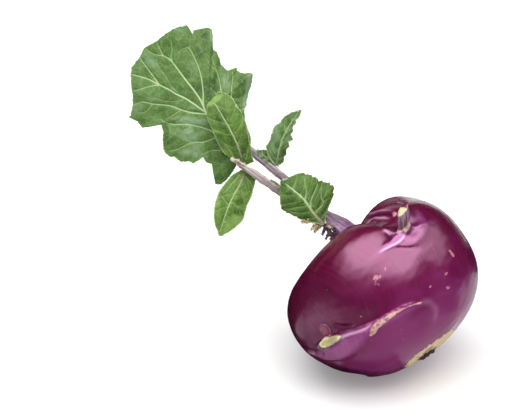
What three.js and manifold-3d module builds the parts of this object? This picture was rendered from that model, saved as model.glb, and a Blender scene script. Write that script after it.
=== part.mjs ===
// A purple kohlrabi lying on its flank, as picked: a swollen stem with the cut stubs of its old
// leaves round it, and three leaves still growing from the hollow of its crown. Leaf 1 has a broad
// blade and a side leaflet, leaf 2 two narrow leaflets at its tip, and leaf 3 one rounded blade.
// Millimetres, +Z up. The origin is the middle of the small flat spot that it rests on.
//
// Everything is drawn in one leaning frame, centred on the bulb: x runs to the right, y up the
// slope on which the leaves fan out, and z out of that slope, towards the front.
import * as THREE from "three";
import { mergeVertices } from "three/addons/utils/BufferGeometryUtils.js";
import Module from "manifold-3d";

const wasm = await Module();
wasm.setup();

const { PI, sin, cos, abs, min, max, exp, hypot, round } = Math;
const V = (x, y, z) => new THREE.Vector3(x, y, z);
const radians = THREE.MathUtils.degToRad;

// ---- driving dimensions ----

const LEAN_BACK = radians(27); // the leaf slope leans back this far from upright
const REST_HEIGHT = 42.1; // bulb's centre above the surface it lies on
const REST_OFFSET = { x: 4.4, y: -3.6 }; // bulb's centre from the middle of its flat spot

const EQUATOR = 47; // bulb's widest radius
const CROWN_RISE = 31.5; // centre to crown, before the crown's hollow
const ROOT_DROP = 38.3; // centre to root end
const CROWN_SQUARENESS = 2.6; // how full the shoulders are: 2 is an ellipse
const ROOT_SQUARENESS = 2.3;
const CROWN_AXIS = V(-0.575, 0.8, -0.17).normalize();
const CROWN_HOLLOW = { depth: 6.5, spread: 0.3 }; // spread is in radians from the crown

const GAP = 0.35; // clearance between pieces that grow out of each other
const CROWN_CLEARANCE = 1 + GAP / 26; // the same, as a scale of the bulb about its centre
const BLADE = 0.75; // leaf thickness
const MIDRIB = 0.55; // how far a main vein stands out of its blade, each side

// ---- the bulb's own axes: lateral, depth, crown ----

const ACROSS = V(0.81, 0.585, 0);
ACROSS.addScaledVector(CROWN_AXIS, -ACROSS.dot(CROWN_AXIS)).normalize();
const BEHIND = CROWN_AXIS.clone().cross(ACROSS);

/** Unit direction from the bulb's centre: azimuth round the crown axis, polar angle from crown. */
function heading(azimuth, polar) {
  const [a, p] = [radians(azimuth), radians(polar)];
  return V(0, 0, 0)
    .addScaledVector(ACROSS, sin(p) * cos(a))
    .addScaledVector(BEHIND, sin(p) * sin(a))
    .addScaledVector(CROWN_AXIS, cos(p));
}

// Soft swellings and hollows of the bulb: height in mm, spread in radians.
const SWELLINGS = [
  { at: heading(20, 42), height: 6.4, spread: 0.35 }, // rear shoulder, the highest
  { at: heading(-174, 28), height: -7, spread: 0.38 }, // sloping left shoulder
  { at: heading(-95, 60), height: 1.2, spread: 0.35 }, // front shoulder
  { at: heading(-4, 92), height: -1.1, spread: 0.6 }, // right flank
  { at: heading(-156, 92), height: 2.6, spread: 0.3 }, // under the lower left stub
  { at: heading(-178, 122), height: -3.4, spread: 0.3 }, // waist below it
  { at: heading(100, 70), height: 1.6, spread: 0.4 }, // rear flank
  { at: heading(55, 118), height: -1.4, spread: 0.34 }, // dip on the hidden side
];

// Bases of the leaves that were cut off, from the oldest to the youngest. Each clasps the bulb with
// a ridge (arms: the ridge's ends on either side of the stub, in degrees of azimuth and of polar
// angle), has an apron below the ridge, a furrow above it, and a cut stub. The stub leans towards
// the crown by tilt and sideways by turn; twist turns its oval about its own length, in degrees.
const LEAF_BASES = [
  { azimuth: 136, polar: 128, arms: [[-27, 4], [30, 5]],
    stub: { length: 3.0, width: 8.5, thick: 4.6, tilt: 0.3, turn: 0 } },
  { azimuth: 38, polar: 118, arms: [[-24, 5], [27, 5]],
    stub: { length: 2.6, width: 9, thick: 4.6, tilt: 0.35, turn: 0 } },
  { azimuth: -138, polar: 101.5, arms: [[-24, 5], [58, 14]],
    stub: { length: 2.4, width: 10.4, thick: 5, tilt: 0.4, turn: 0.5, twist: -12 } },
  { azimuth: 82, polar: 91, arms: [[-24, 6], [26, 5]],
    stub: { length: 5.0, width: 9.6, thick: 5.4, tilt: 0.5, turn: 0.1 } },
  { azimuth: -60, polar: 77, arms: [[-23, 2.5], [19, 3]],
    stub: { length: 9, width: 5.8, thick: 5, tilt: 0.3, turn: 0.12 } },
  { azimuth: 134, polar: 61, arms: [[-24, 5], [24, 6]],
    stub: { length: 6.5, width: 8, thick: 5, tilt: 0.7, turn: 0 } },
  { azimuth: 62, polar: 50, arms: [[-22, 6], [24, 6]],
    stub: { length: 5.5, width: 6.6, thick: 4.4, tilt: 0.6, turn: -0.1 } },
];
const FRONT_STUB = LEAF_BASES[4];
const RIDGE = { radius: 1.9, sunk: 0.7, curve: 0.6 }; // at curve 1 it would run straight out
const APRON = { height: 1.4, length: 8.5, reach: 26, edge: 0.2 }; // reach in degrees of azimuth
const FURROW = { depth: 1.8, width: 4.5 }; // hollow in the angle above a ridge
const CHANNEL = { depth: 4.6, width: 0.15 }; // from the crown's hollow to the front stub, radians

/** Radius of the plain swollen stem in a direction: two half superellipsoids, full-shouldered. */
function stemRadius(w) {
  const up = w.dot(CROWN_AXIS);
  const out = Math.sqrt(max(0, 1 - up * up));
  const [height, power] =
    up > 0 ? [CROWN_RISE, CROWN_SQUARENESS] : [ROOT_DROP, ROOT_SQUARENESS];
  return (abs(up / height) ** power + (out / EQUATOR) ** power) ** (-1 / power);
}

/** Azimuth and polar angle, in degrees, of a direction. */
function angles(w) {
  const azimuth = Math.atan2(w.dot(BEHIND), w.dot(ACROSS));
  return [(azimuth * 180) / PI, (w.angleTo(CROWN_AXIS) * 180) / PI];
}

/** Height that the apron and furrow of one leaf base add to the bulb. */
function baseRelief(base, w) {
  const [azimuth, polar] = angles(w);
  const turn = ((azimuth - base.azimuth + 540) % 360) - 180;
  const [reach, drop] = turn < 0 ? base.arms[0] : base.arms[1];
  const share = turn / reach;
  if (share > 1.5) return 0;
  const mm = (stemRadius(w) * PI) / 180;
  const above = (base.polar + drop * share ** RIDGE.curve - polar) * mm;
  if (above > 0) {
    const x = above / FURROW.width;
    return -FURROW.depth * x * exp((1 - x * x) / 2 - 2 * share ** 2.4);
  }
  const down = -above / APRON.length + (turn / APRON.reach) ** 2;
  return (APRON.height * exp(-1.6 * share * share)) / (1 + exp((down - 1) / APRON.edge));
}

/** Depth of the channel that runs over the shoulder, from the crown's hollow to the front stub. */
function channelDepth(w) {
  const stub = heading(FRONT_STUB.azimuth, FRONT_STUB.polar);
  const side = CROWN_AXIS.clone().cross(stub).normalize();
  const ahead = side.clone().cross(CROWN_AXIS);
  const run = Math.atan2(w.dot(ahead), w.dot(CROWN_AXIS)) / radians(FRONT_STUB.polar);
  const fade = 1 / (1 + exp((run - 0.86) / 0.05)) / (1 + exp((-run - 0.08) / 0.08));
  return CHANNEL.depth * exp(-((w.dot(side) / CHANNEL.width) ** 2)) * fade;
}

/** A point of the bulb's skin, in the leaning frame. */
function skin(w) {
  let radius = stemRadius(w);
  for (const { at, height, spread } of SWELLINGS)
    radius += height * exp(-((at.angleTo(w) / spread) ** 2));
  radius -= CROWN_HOLLOW.depth * exp(-((CROWN_AXIS.angleTo(w) / CROWN_HOLLOW.spread) ** 2));
  radius -= channelDepth(w);
  for (const base of LEAF_BASES) radius += baseRelief(base, w);
  return w.clone().multiplyScalar(radius);
}

// ---- making solids ----

/** Moves every vertex of a three.js geometry by a function, and merges what then coincides. */
function shaped(geometry, place) {
  const position = geometry.getAttribute("position");
  const uv = geometry.getAttribute("uv");
  for (let i = 0; i < position.count; i++) {
    const p = V(0, 0, 0).fromBufferAttribute(position, i);
    const q = place(p, uv.getX(i), uv.getY(i));
    position.setXYZ(i, q.x, q.y, q.z);
  }
  geometry.deleteAttribute("normal");
  geometry.deleteAttribute("uv");
  return mergeVertices(geometry, 1e-3);
}

/** The triangles of an indexed geometry, without those that collapsed. */
function trianglesOf(geometry) {
  const kept = [];
  const index = geometry.index.array;
  for (let i = 0; i < index.length; i += 3) {
    const [a, b, c] = [index[i], index[i + 1], index[i + 2]];
    if (a !== b && b !== c && c !== a) kept.push([a, b, c]);
  }
  return kept;
}

/** A closed geometry as a manifold-3d solid, turned right way out. */
function solid(geometry) {
  const merged = mergeVertices(geometry, 1e-3);
  const triangles = trianglesOf(merged);
  const make = (list) =>
    new wasm.Manifold(
      new wasm.Mesh({
        numProp: 3,
        vertProperties: new Float32Array(merged.attributes.position.array),
        triVerts: new Uint32Array(list.flat()),
      }),
    );
  const made = make(triangles);
  return made.volume() < 0 ? make(triangles.map(([a, b, c]) => [a, c, b])) : made;
}

/** A manifold-3d solid as a three.js geometry. */
function geometryOf(body) {
  const made = body.getMesh();
  const position = new Float32Array(made.numVert * 3);
  for (let i = 0; i < made.numVert; i++)
    position.set(made.vertProperties.subarray(i * made.numProp, i * made.numProp + 3), i * 3);
  return new THREE.BufferGeometry()
    .setAttribute("position", new THREE.BufferAttribute(position, 3))
    .setIndex(new THREE.BufferAttribute(made.triVerts, 1));
}

/** A smooth value from an evenly spaced list, at u from 0 to 1. */
function along(list, u) {
  const x = min(max(u, 0), 1) * (list.length - 1);
  const i = min(Math.floor(x), list.length - 2);
  const f = x - i;
  const [b, c] = [list[i], list[i + 1]];
  const [a, d] = [list[i - 1] ?? b, list[i + 2] ?? c];
  return b + 0.5 * f * (c - a + f * (2 * a - 5 * b + 4 * c - d + f * (3 * (b - c) + d - a)));
}

/** A stalk through the given points, with radii at even steps and a channel on its front. */
function stalk({ points, radii, flat = 1, groove = 0, sides = 10, steps = 14, grow = 0 }) {
  const curve = new THREE.CatmullRomCurve3(points.map((p) => V(...p)), false, "centripetal");
  const frames = curve.computeFrenetFrames(steps, false);
  const cylinder = new THREE.CylinderGeometry(1, 1, 1, sides, steps);
  return shaped(cylinder, (p) => {
    const t = p.y + 0.5;
    const i = round(t * steps);
    const front = V(0, 0, 1);
    const tangent = frames.tangents[i];
    const face = front.addScaledVector(tangent, -front.dot(tangent)).normalize();
    const side = tangent.clone().cross(face);
    const dent = 1 - groove * max(0, p.z) ** 3;
    const r = along(radii, t) + grow;
    return curve
      .getPointAt(t)
      .addScaledVector(side, p.x * r)
      .addScaledVector(face, p.z * r * flat * dent);
  });
}

/** Gives a middle surface its thickness: front and back share one triangle pattern, with a rim. */
function thickened(middle, extra) {
  middle.computeVertexNormals();
  const at = middle.attributes.position;
  const normal = middle.attributes.normal;
  const count = at.count;
  const position = new Float32Array(count * 6);
  for (let i = 0; i < count; i++) {
    const p = V(0, 0, 0).fromBufferAttribute(at, i);
    const n = V(0, 0, 0).fromBufferAttribute(normal, i).normalize();
    const half = BLADE / 2 + extra[i];
    position.set(p.clone().addScaledVector(n, half).toArray(), i * 3);
    position.set(p.clone().addScaledVector(n, -half).toArray(), (count + i) * 3);
  }
  const triangles = trianglesOf(middle);
  const edges = new Set(triangles.flatMap(([a, b, c]) => [`${a},${b}`, `${b},${c}`, `${c},${a}`]));
  const index = [];
  for (const [a, b, c] of triangles) {
    index.push(a, b, c, count + c, count + b, count + a);
    for (const [p, q] of [[a, b], [b, c], [c, a]])
      if (!edges.has(`${q},${p}`)) index.push(p, count + p, q, q, count + p, count + q);
  }
  return new THREE.BufferGeometry()
    .setAttribute("position", new THREE.BufferAttribute(position, 3))
    .setIndex(index);
}

/** A thin solid on a flat geometry: place gives the middle surface, rib what a vein adds to it. */
function ribbed(geometry, place, rib) {
  const ribs = new Map();
  const key = (p) => p.toArray().map((x) => round(x * 500)).join();
  const middle = shaped(geometry, (p, u, v) => {
    const q = place(u, v);
    const height = rib(u, v);
    ribs.set(key(q), max(height, ribs.get(key(q)) ?? 0));
    return q;
  });
  const at = middle.attributes.position;
  const extra = [];
  for (let i = 0; i < at.count; i++)
    extra.push(ribs.get(key(V(0, 0, 0).fromBufferAttribute(at, i))) ?? 0);
  return thickened(middle, extra);
}

// ---- leaves ----

/** An irregular toothing, between about -1 and 1, for the points along a margin. */
function notch(i) {
  return 0.6 * sin(2.4 * i) + 0.45 * sin(4.1 * i + 1);
}

/**
 * A leaf or leaflet on a midrib from base to tip. left and right are half-widths at even stations,
 * fold is how far each half turns back per mm of width, bow bends the midrib sideways and arch out
 * of the slope, roll turns the tip back, and wave ruffles the margin.
 */
function strapBlade({ base, tip, right, left, fold = [0, 0], bow = 0, arch = 0, roll = 0,
  wave = 0.6, waves = 3, phase = 0, teeth = 0.05, stations = 14, columns = 6 }) {
  const [from, to] = [V(...base), V(...tip)];
  const spine = to.clone().sub(from);
  const sideways = V(spine.y, -spine.x, 0).normalize();
  const outward = sideways.clone().cross(spine).normalize();
  const place = (u, v) => {
    const across = 2 * v - 1;
    const station = round(u * stations);
    const tooth = abs(across) > 0.99 ? teeth * notch(station + (across < 0 ? 7 : 0)) : 0;
    const width = along(across < 0 ? left : right, u) * (1 + tooth);
    const turn = across < 0 ? fold[0] : fold[1];
    const lift = arch * sin(PI * u) - roll * max(0, (u - 0.7) / 0.3) ** 2
      - turn * abs(across) * width
      + wave * across * across * sin(2 * PI * (waves * u + phase) + (across < 0 ? 0 : 1.7));
    return from.clone()
      .addScaledVector(spine, u)
      .addScaledVector(sideways, bow * sin(PI * u) + across * width)
      .addScaledVector(outward, lift);
  };
  const rib = (u, v) => (abs(v - 0.5) < 0.01 ? MIDRIB * (1 - 0.7 * u) : 0);
  const plane = new THREE.PlaneGeometry(1, 1, columns, stations);
  return solid(ribbed(plane, (v, u) => place(u, v), (v, u) => rib(u, v)));
}

// The broad blade, drawn round the point where its main veins meet: [degrees, mm] at its margin.
const FAN_CENTRE = V(-83, 82, 0.5);
const FAN_MARGIN = [
  [-40, 26], [-25, 22], [-6, 18.5], [10, 18.7], [25, 22], [43, 29], [52, 25], [64, 23],
  [76, 25], [84, 31], [87, 40], [96, 40.5], [100.5, 38.5], [103, 43.5], [114, 42.5], [123, 42],
  [133, 43], [146, 41.5], [153, 41], [162, 37.5], [171, 35.5], [182, 37], [188, 32.5],
  [192, 31.5], [196, 22.5], [208, 23.5], [224, 27.5], [240, 25], [262, 21.5], [271, 25],
  [276, 33], [283, 34.8], [292, 31], [303, 28.5], [320, 26],
];
// Directions of its veins, in degrees, with the midrib first.
const FAN_VEINS = [152, 124, 102, 174, 66, 38, 200, 226, 256, 284, 320];
const FAN = { sectors: 80, rings: 8, dish: 1.6, backTurn: 9, ruffle: 1.2, ruffles: 7, teeth: 0.8 };

/** Distance from the vein centre to the broad leaf's margin, at an angle in degrees. */
function fanReach(degrees) {
  const angle = ((((degrees + 40) % 360) + 360) % 360) - 40;
  const i = max(0, FAN_MARGIN.findIndex(([a]) => a > angle) - 1);
  const [[a, ra], [b, rb]] = [FAN_MARGIN[i], FAN_MARGIN[i + 1]];
  return ra + ((rb - ra) * (angle - a)) / (b - a);
}

/** How far the broad leaf stands out of the slope, at an angle and a share of its reach. */
function fanLift(degrees, share) {
  const a = radians(degrees);
  const dish = FAN.dish * share * share * cos(a - radians(FAN_VEINS[0]));
  const turned = FAN.backTurn * share ** 2 * max(0, cos(a - radians(48))) ** 2;
  const ruffle = FAN.ruffle * share ** 3 * sin(FAN.ruffles * a + 0.6);
  return dish - turned + ruffle;
}

function fanBlade() {
  const step = 360 / FAN.sectors;
  const ring = new THREE.RingGeometry(0, 1, FAN.sectors, FAN.rings);
  const snapped = FAN_VEINS.map((angle) => round(angle / step));
  const polar = (u, v) => {
    const [x, y] = [2 * u - 1, 2 * v - 1];
    const sector = round(((Math.atan2(y, x) * 180) / PI + 360) / step) % FAN.sectors;
    return { sector, share: round(hypot(x, y) * FAN.rings) / FAN.rings };
  };
  const place = (u, v) => {
    const { sector, share } = polar(u, v);
    const degrees = sector * step;
    const tooth = share === 1 ? FAN.teeth * notch(sector) : 0;
    const reach = fanReach(degrees) * share + tooth;
    return V(reach * cos(radians(degrees)), reach * sin(radians(degrees)),
      fanLift(degrees, share)).add(FAN_CENTRE);
  };
  const rib = (u, v) => {
    const { sector, share } = polar(u, v);
    const vein = snapped.findIndex((s) => s % FAN.sectors === sector);
    if (vein < 0 || share > 0.95) return 0;
    return MIDRIB * (vein === 0 ? 1.2 : 0.9) * (1 - 0.75 * share);
  };
  return solid(ribbed(ring, place, rib));
}

// Stalks and blades, base to tip, in the leaning frame.
const PETIOLE_1 = {
  points: [[-9.5, 20, -15], [-13, 27, -13], [-19.4, 31.8, -11], [-26, 35.4, -9.5],
    [-34.1, 41.7, -7.5], [-44.6, 50.2, -6], [-56.9, 60.2, -5.2], [-67, 69, -4.2],
    [-75, 75.6, -3], [-82.4, 81.4, -1.9]],
  radii: [3.4, 3.1, 2.7, 2.2, 2, 1.9, 1.7, 1.4, 1.1],
  groove: 0.25,
};
const PETIOLE_2 = {
  points: [[-12.5, 17, 1], [-15.6, 23, 0.4], [-20.2, 27.4, 0], [-25.6, 30.9, 0.2],
    [-34.1, 36.2, 0.8], [-48.3, 45, 3.2], [-60.5, 53.6, 5.4], [-71.6, 61, 6.6]],
  radii: [3.2, 2.8, 2.5, 2.2, 1.95, 1.85, 1.8, 1.3],
  groove: 0.3,
};
const PETIOLE_3 = {
  points: [[-18.5, 14, -4], [-21.6, 20.6, -1], [-24, 25, 2.4], [-27, 28.8, 5.2], [-29.4, 31.8, 7]],
  radii: [1.7, 1.4, 1.2, 1.1, 1.0],
  groove: 0.2,
  sides: 8,
  steps: 9,
};

const BLADE_3 = {
  base: [-30.2, 32.6, 7.8],
  tip: [-47.9, 50.2, 8.6],
  right: [2, 11, 14.8, 14.4, 13, 12.2, 11, 7.5, 0.6],
  left: [1, 4.6, 6.6, 7.9, 8.6, 8.6, 7.6, 4.9, 0.5],
  fold: [0.16, 0.22], arch: 1.6, roll: 1.5, wave: 0.6, waves: 3, teeth: 0.05, stations: 18,
};
const SIDE_LEAFLET = {
  base: [-49.7, 58.4, -5.2],
  tip: [-38.4, 84, -3],
  right: [0.7, 2.2, 3.5, 4.2, 4.2, 3.6, 2.8, 1.8, 0.4],
  left: [0.7, 5.2, 7.2, 7.4, 7.4, 6.2, 4.6, 2.6, 0.4],
  fold: [-0.25, 0.75], bow: -2, arch: 2, wave: 0.7, waves: 2.5, teeth: 0.08, stations: 16,
};
const SIDE_LOBE = {
  base: [-50.2, 59.6, -5.2],
  tip: [-59.6, 66.6, -3.4],
  right: [1.6, 3, 3.4, 2.6, 0.5],
  left: [0.6, 1.6, 1.8, 1.2, 0.4],
  fold: [0.2, 0.3], arch: 0.8, wave: 0.2, teeth: 0.06, stations: 8, columns: 4,
};
const UPPER_LEAFLET = {
  base: [-65.9, 58.8, 3.2],
  tip: [-77.5, 92.6, 8],
  right: [5.2, 6.5, 7.1, 7.2, 7.6, 7.7, 7, 5.8, 1.5],
  left: [3.5, 5.5, 6.8, 7.9, 8, 9, 9.3, 5.6, 1],
  fold: [0.1, 0.42], arch: 4, roll: 3, wave: 0.5, waves: 2, teeth: 0.02, stations: 16,
};
const LOWER_LEAFLET = {
  base: [-64.9, 55.5, 2.8],
  tip: [-76.3, 25.1, 6],
  right: [4, 6.2, 7.3, 7.8, 7.8, 7.4, 5.8, 3.4, 0.4],
  left: [5.2, 6.9, 7.4, 7.2, 7.1, 7.3, 6.2, 3.6, 0.4],
  fold: [0.28, 0.2], arch: 2.4, wave: 0.3, waves: 2, teeth: 0.015,
};
const TINY_LEAFLET = { // it stands on petiole 2
  base: [-47.6, 45.6, 3.2],
  tip: [-53, 50.8, 2.6],
  right: [0.5, 1.2, 1.4, 1.1, 0.4],
  left: [0.5, 1.5, 1.9, 1.3, 0.4],
  wave: 0.1, teeth: 0.06, stations: 6, columns: 4,
};
// Dried, torn remains of the third leaf's lower lobes, on its stalk.
const TORN_LOBES = [
  { base: [-26.4, 28.6, 4.8], tip: [-37, 28.4, 7.4], width: 1.9 },
  { base: [-24.2, 25.4, 2.6], tip: [-32.6, 23.8, 6], width: 1.9 },
  { base: [-22.4, 22.6, 0.4], tip: [-28.2, 20.8, 3.4], width: 1.4 },
];

// ---- the bulb ----

/** The bulb's skin as a solid, at a scale about its centre. */
function bulbSkin(scale, around = 64, down = 40) {
  const ball = new THREE.SphereGeometry(1, around, down);
  return solid(shaped(ball, (p) => {
    const azimuth = hypot(p.x, p.z) < 1e-6 ? 0 : (Math.atan2(p.z, p.x) * 180) / PI;
    const polar = (Math.acos(min(1, max(-1, p.y))) * 180) / PI;
    return skin(heading(azimuth, polar)).multiplyScalar(scale);
  }));
}

/** A place on the skin, with the plain stem's outward, sideways and crownward directions there. */
function baseAxes(azimuth, polar) {
  const stem = (a, p) => heading(a, p).multiplyScalar(stemRadius(heading(a, p)));
  const at = skin(heading(azimuth, polar));
  const side = stem(azimuth + 1, polar).sub(stem(azimuth - 1, polar)).normalize();
  const up = stem(azimuth, polar - 1).sub(stem(azimuth, polar + 1));
  const out = side.clone().cross(up).normalize();
  if (out.dot(at) < 0) out.negate();
  return { at, side, out, up: up.addScaledVector(side, -up.dot(side)).normalize() };
}

/** The clasping ridge of a leaf base: a tapering cord laid in the skin from arm to arm. */
function clasp(base) {
  const points = [-1, -0.75, -0.5, -0.25, 0, 0.25, 0.5, 0.75, 1].map((share) => {
    const [reach, drop] = share < 0 ? base.arms[0] : base.arms[1];
    const out = abs(share);
    const w = heading(base.azimuth + reach * out, base.polar + drop * out ** RIDGE.curve);
    return skin(w).addScaledVector(w, -RIDGE.sunk - 0.6 * out ** 3).toArray();
  });
  const radii = [0.4, 0.75, 0.9, 1, 1, 1, 0.9, 0.75, 0.4].map((share) => share * RIDGE.radius);
  return solid(stalk({ points, radii, sides: 8, steps: 14 }));
}

/** The cut stub of an old petiole: a flared oval stalk, cut off slantwise. */
function stub({ azimuth, polar, stub: { length, width, thick, tilt, turn, twist = 0 } }) {
  const { at, side, out, up } = baseAxes(azimuth, polar);
  const lean = out.clone().addScaledVector(up, tilt).addScaledVector(side, turn).normalize();
  const face = side.clone().cross(lean).normalize().applyAxisAngle(lean, radians(twist));
  side.copy(lean).cross(face);
  const flare = [1.6, 1.3, 1.08, 1, 1];
  const steps = flare.length - 1;
  const sunk = 4;
  return solid(shaped(new THREE.CylinderGeometry(1, 1, 1, 14, steps), (p) => {
    const t = p.y + 0.5;
    const wide = flare[round(t * steps)];
    const slant = 0.28 * t * face.dot(up) * p.z * thick;
    return at.clone()
      .addScaledVector(lean, -sunk + t * (sunk + length) - slant)
      .addScaledVector(side, (p.x * width * wide) / 2)
      .addScaledVector(face, (p.z * thick * wide) / 2);
  }));
}

// The root end: a woody scar with the cut remnant of the root.
const ROOT = { azimuth: -140, polar: 174, radius: 4.4, stands: 0.9 };

function rootRemnant() {
  const { at, side, out, up } = baseAxes(ROOT.azimuth, ROOT.polar);
  const sunk = 5;
  return solid(shaped(new THREE.CylinderGeometry(1, 1, 1, 12, 3), (p) => {
    const t = p.y + 0.5;
    const wide = ROOT.radius * (1.5 - 0.5 * min(1, 1.5 * t));
    return at.clone()
      .addScaledVector(out, -sunk + t * (sunk + ROOT.stands))
      .addScaledVector(side, p.x * wide)
      .addScaledVector(up, p.z * wide * 0.8);
  }));
}

// ---- the leaning group and its flat spot ----

const kohlrabi = new THREE.Group();
kohlrabi.rotation.x = PI / 2 - LEAN_BACK;
kohlrabi.position.set(REST_OFFSET.x, REST_OFFSET.y, REST_HEIGHT);
kohlrabi.updateMatrixWorld(true);

/** Everything below the surface that the bulb rests on, in the leaning frame. */
function ground() {
  const depth = 40;
  const slab = new THREE.BoxGeometry(300, 300, depth);
  slab.translate(0, 0, -depth / 2);
  slab.applyMatrix4(kohlrabi.matrixWorld.clone().invert());
  slab.deleteAttribute("normal");
  slab.deleteAttribute("uv");
  return solid(slab);
}

function bulb() {
  let body = bulbSkin(1).add(rootRemnant());
  for (const base of LEAF_BASES) body = body.add(clasp(base)).add(stub(base));
  return body.subtract(ground());
}

/** Tiny unopened leaves at the growing point, in the hollow of the crown. */
function heartBud() {
  const { at, out } = baseAxes(60, 6);
  const leaves = [[5.5, 0.1, 0], [4.6, 0.3, 120], [3.8, 0.4, 240]];
  let bud = null;
  for (const [length, spread, turn] of leaves) {
    const sideways = ACROSS.clone().applyAxisAngle(out, radians(turn));
    const tip = at.clone().addScaledVector(out, length).addScaledVector(sideways, spread * length);
    const middle = at.clone().addScaledVector(out, length * 0.5).addScaledVector(sideways, 0.9);
    const leaf = solid(stalk({
      points: [at.clone().addScaledVector(out, -2).toArray(), middle.toArray(), tip.toArray()],
      radii: [0.9, 1.2, 1.3, 1, 0.35], flat: 0.7, sides: 8, steps: 6,
    }));
    bud = bud ? bud.add(leaf) : leaf;
  }
  return bud.subtract(bulbClearance);
}

const COLOURS = {
  skin: [0x6d1148, 0.32],
  stalk: [0x7d5f76, 0.5],
  leaf: [0x6b9a52, 0.6],
};

function piece(name, body, finish) {
  const [color, roughness] = COLOURS[finish];
  const mesh = new THREE.Mesh(
    geometryOf(body),
    new THREE.MeshStandardMaterial({ color, roughness, metalness: 0 }),
  );
  mesh.name = name;
  kohlrabi.add(mesh);
}

const bulbClearance = bulbSkin(CROWN_CLEARANCE);
const stalkClearances = [PETIOLE_1, PETIOLE_2, PETIOLE_3].map((petiole) =>
  solid(stalk({ ...petiole, grow: GAP })),
);

/** A petiole cut clear of the bulb, with small lobes of its own fused to it. */
function petiole(shape, lobes = []) {
  const whole = lobes.reduce((body, lobe) => body.add(strapBlade(lobe)), solid(stalk(shape)));
  return whole.subtract(bulbClearance);
}

/** A blade, or two fused ones, cut clear of every stalk that it passes. */
function blade(...bodies) {
  return stalkClearances.reduce(
    (left, clearance) => left.subtract(clearance),
    bodies.reduce((body, other) => body.add(other)),
  );
}

const tornLobes = TORN_LOBES.map(({ base, tip, width }, i) => {
  const outline = [0.7, width, width * 0.6, width * 0.9, 0.35];
  return { base, tip, left: outline, right: outline, teeth: 0.3, wave: 0.4, phase: i / 3,
    stations: 8, columns: 4 };
});

piece("bulb", bulb(), "skin");
piece("heart_bud", heartBud(), "leaf");
piece("leaf_1_petiole", petiole(PETIOLE_1), "stalk");
piece("leaf_1_blade", blade(fanBlade()), "leaf");
piece("leaf_1_side_leaflet", blade(strapBlade(SIDE_LEAFLET), strapBlade(SIDE_LOBE)), "leaf");
piece("leaf_2_petiole", petiole(PETIOLE_2, [TINY_LEAFLET]), "stalk");
piece("leaf_2_upper_leaflet", blade(strapBlade(UPPER_LEAFLET)), "leaf");
piece("leaf_2_lower_leaflet", blade(strapBlade(LOWER_LEAFLET)), "leaf");
piece("leaf_3_petiole", petiole(PETIOLE_3, tornLobes), "stalk");
piece("leaf_3_blade", blade(strapBlade(BLADE_3)), "leaf");

export default kohlrabi;
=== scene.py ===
"""A purple kohlrabi lying on its flank on a plain pale floor, under soft studio light.

The swollen stem, the growing point in its crown and the three leaves are modelled in millimetres in
one leaning frame, centred on the stem: x runs right, y up the slope on which the leaves fan out,
and z out of that slope, towards the front. The last thing done to each mesh is to turn it into the
part's own frame, in metres.
"""

import logging
import math
from collections.abc import Callable, Sequence
from dataclasses import dataclass
from enum import Enum
from itertools import product

import bmesh
import bpy
import numpy as np
from mathutils import Matrix, Vector


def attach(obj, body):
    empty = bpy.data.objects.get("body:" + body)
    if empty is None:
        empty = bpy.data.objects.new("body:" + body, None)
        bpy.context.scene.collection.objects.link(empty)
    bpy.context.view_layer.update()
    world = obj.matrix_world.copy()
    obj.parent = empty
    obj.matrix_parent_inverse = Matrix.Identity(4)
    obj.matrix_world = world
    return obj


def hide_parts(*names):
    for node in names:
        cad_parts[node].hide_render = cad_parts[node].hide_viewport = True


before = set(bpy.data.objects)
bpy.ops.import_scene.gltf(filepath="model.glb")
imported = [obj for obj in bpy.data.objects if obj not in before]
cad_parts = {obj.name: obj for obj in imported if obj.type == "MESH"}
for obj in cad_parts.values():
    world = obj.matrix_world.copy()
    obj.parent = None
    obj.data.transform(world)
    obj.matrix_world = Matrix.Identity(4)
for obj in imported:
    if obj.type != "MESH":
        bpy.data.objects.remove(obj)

log = logging.getLogger("kohlrabi")
Array = np.ndarray
Mesh, Object, Material = bpy.types.Mesh, bpy.types.Object, bpy.types.Material
BMesh = bmesh.types.BMesh
Pair = tuple[float, float]
Triple = tuple[float, float, float]

LEAN_BACK = math.radians(27)  # the leaf slope leans back this far from upright
STEM_CENTRE = (4.4, -3.6, 42.1)  # mm, from the middle of the flat spot that it rests on
MM = 0.001
PER_M = 1000  # a pattern's scale in Object coordinates is PER_M over its size in mm
NOISE = (0.3, 0.7)  # a noise texture's values mostly lie between these
SLOPE = (
    Matrix.Scale(MM, 4)
    @ Matrix.Translation(STEM_CENTRE)
    @ Matrix.Rotation(math.pi / 2 - LEAN_BACK, 4, "X")
)


class Slot(Enum):
    """The record's material slots."""

    SKIN = "kohlrabi_skin"
    STALK = "leaf_stalk"
    BLADE = "leaf_blade"


# ---- small mathematics ----


SPAN_POINTS = 24  # on each span of a curve, before it is divided evenly
WAVES_ADDED = 14  # to make one relief


def unit(v: Array) -> Array:
    """Vectors scaled to length 1."""
    v = np.asarray(v, float)
    return v / np.linalg.norm(v, axis=-1, keepdims=True)


def step(low: float, high: float, x: Array) -> Array:
    """A smooth step from 0 at low to 1 at high; low may be the larger."""
    t = np.clip((np.asarray(x, float) - low) / (high - low), 0, 1)
    return t * t * (3 - 2 * t)


def bell(x: Array) -> Array:
    """A bell curve, 1 at 0, that is almost 0 by 2."""
    return np.exp(-(x * x))


def turned(x: Array, y: Array, degrees: float) -> tuple[Array, Array]:
    """Distances along and across something that is turned by so many degrees."""
    c, s = math.cos(math.radians(degrees)), math.sin(math.radians(degrees))
    return x * c + y * s, y * c - x * s


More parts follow.
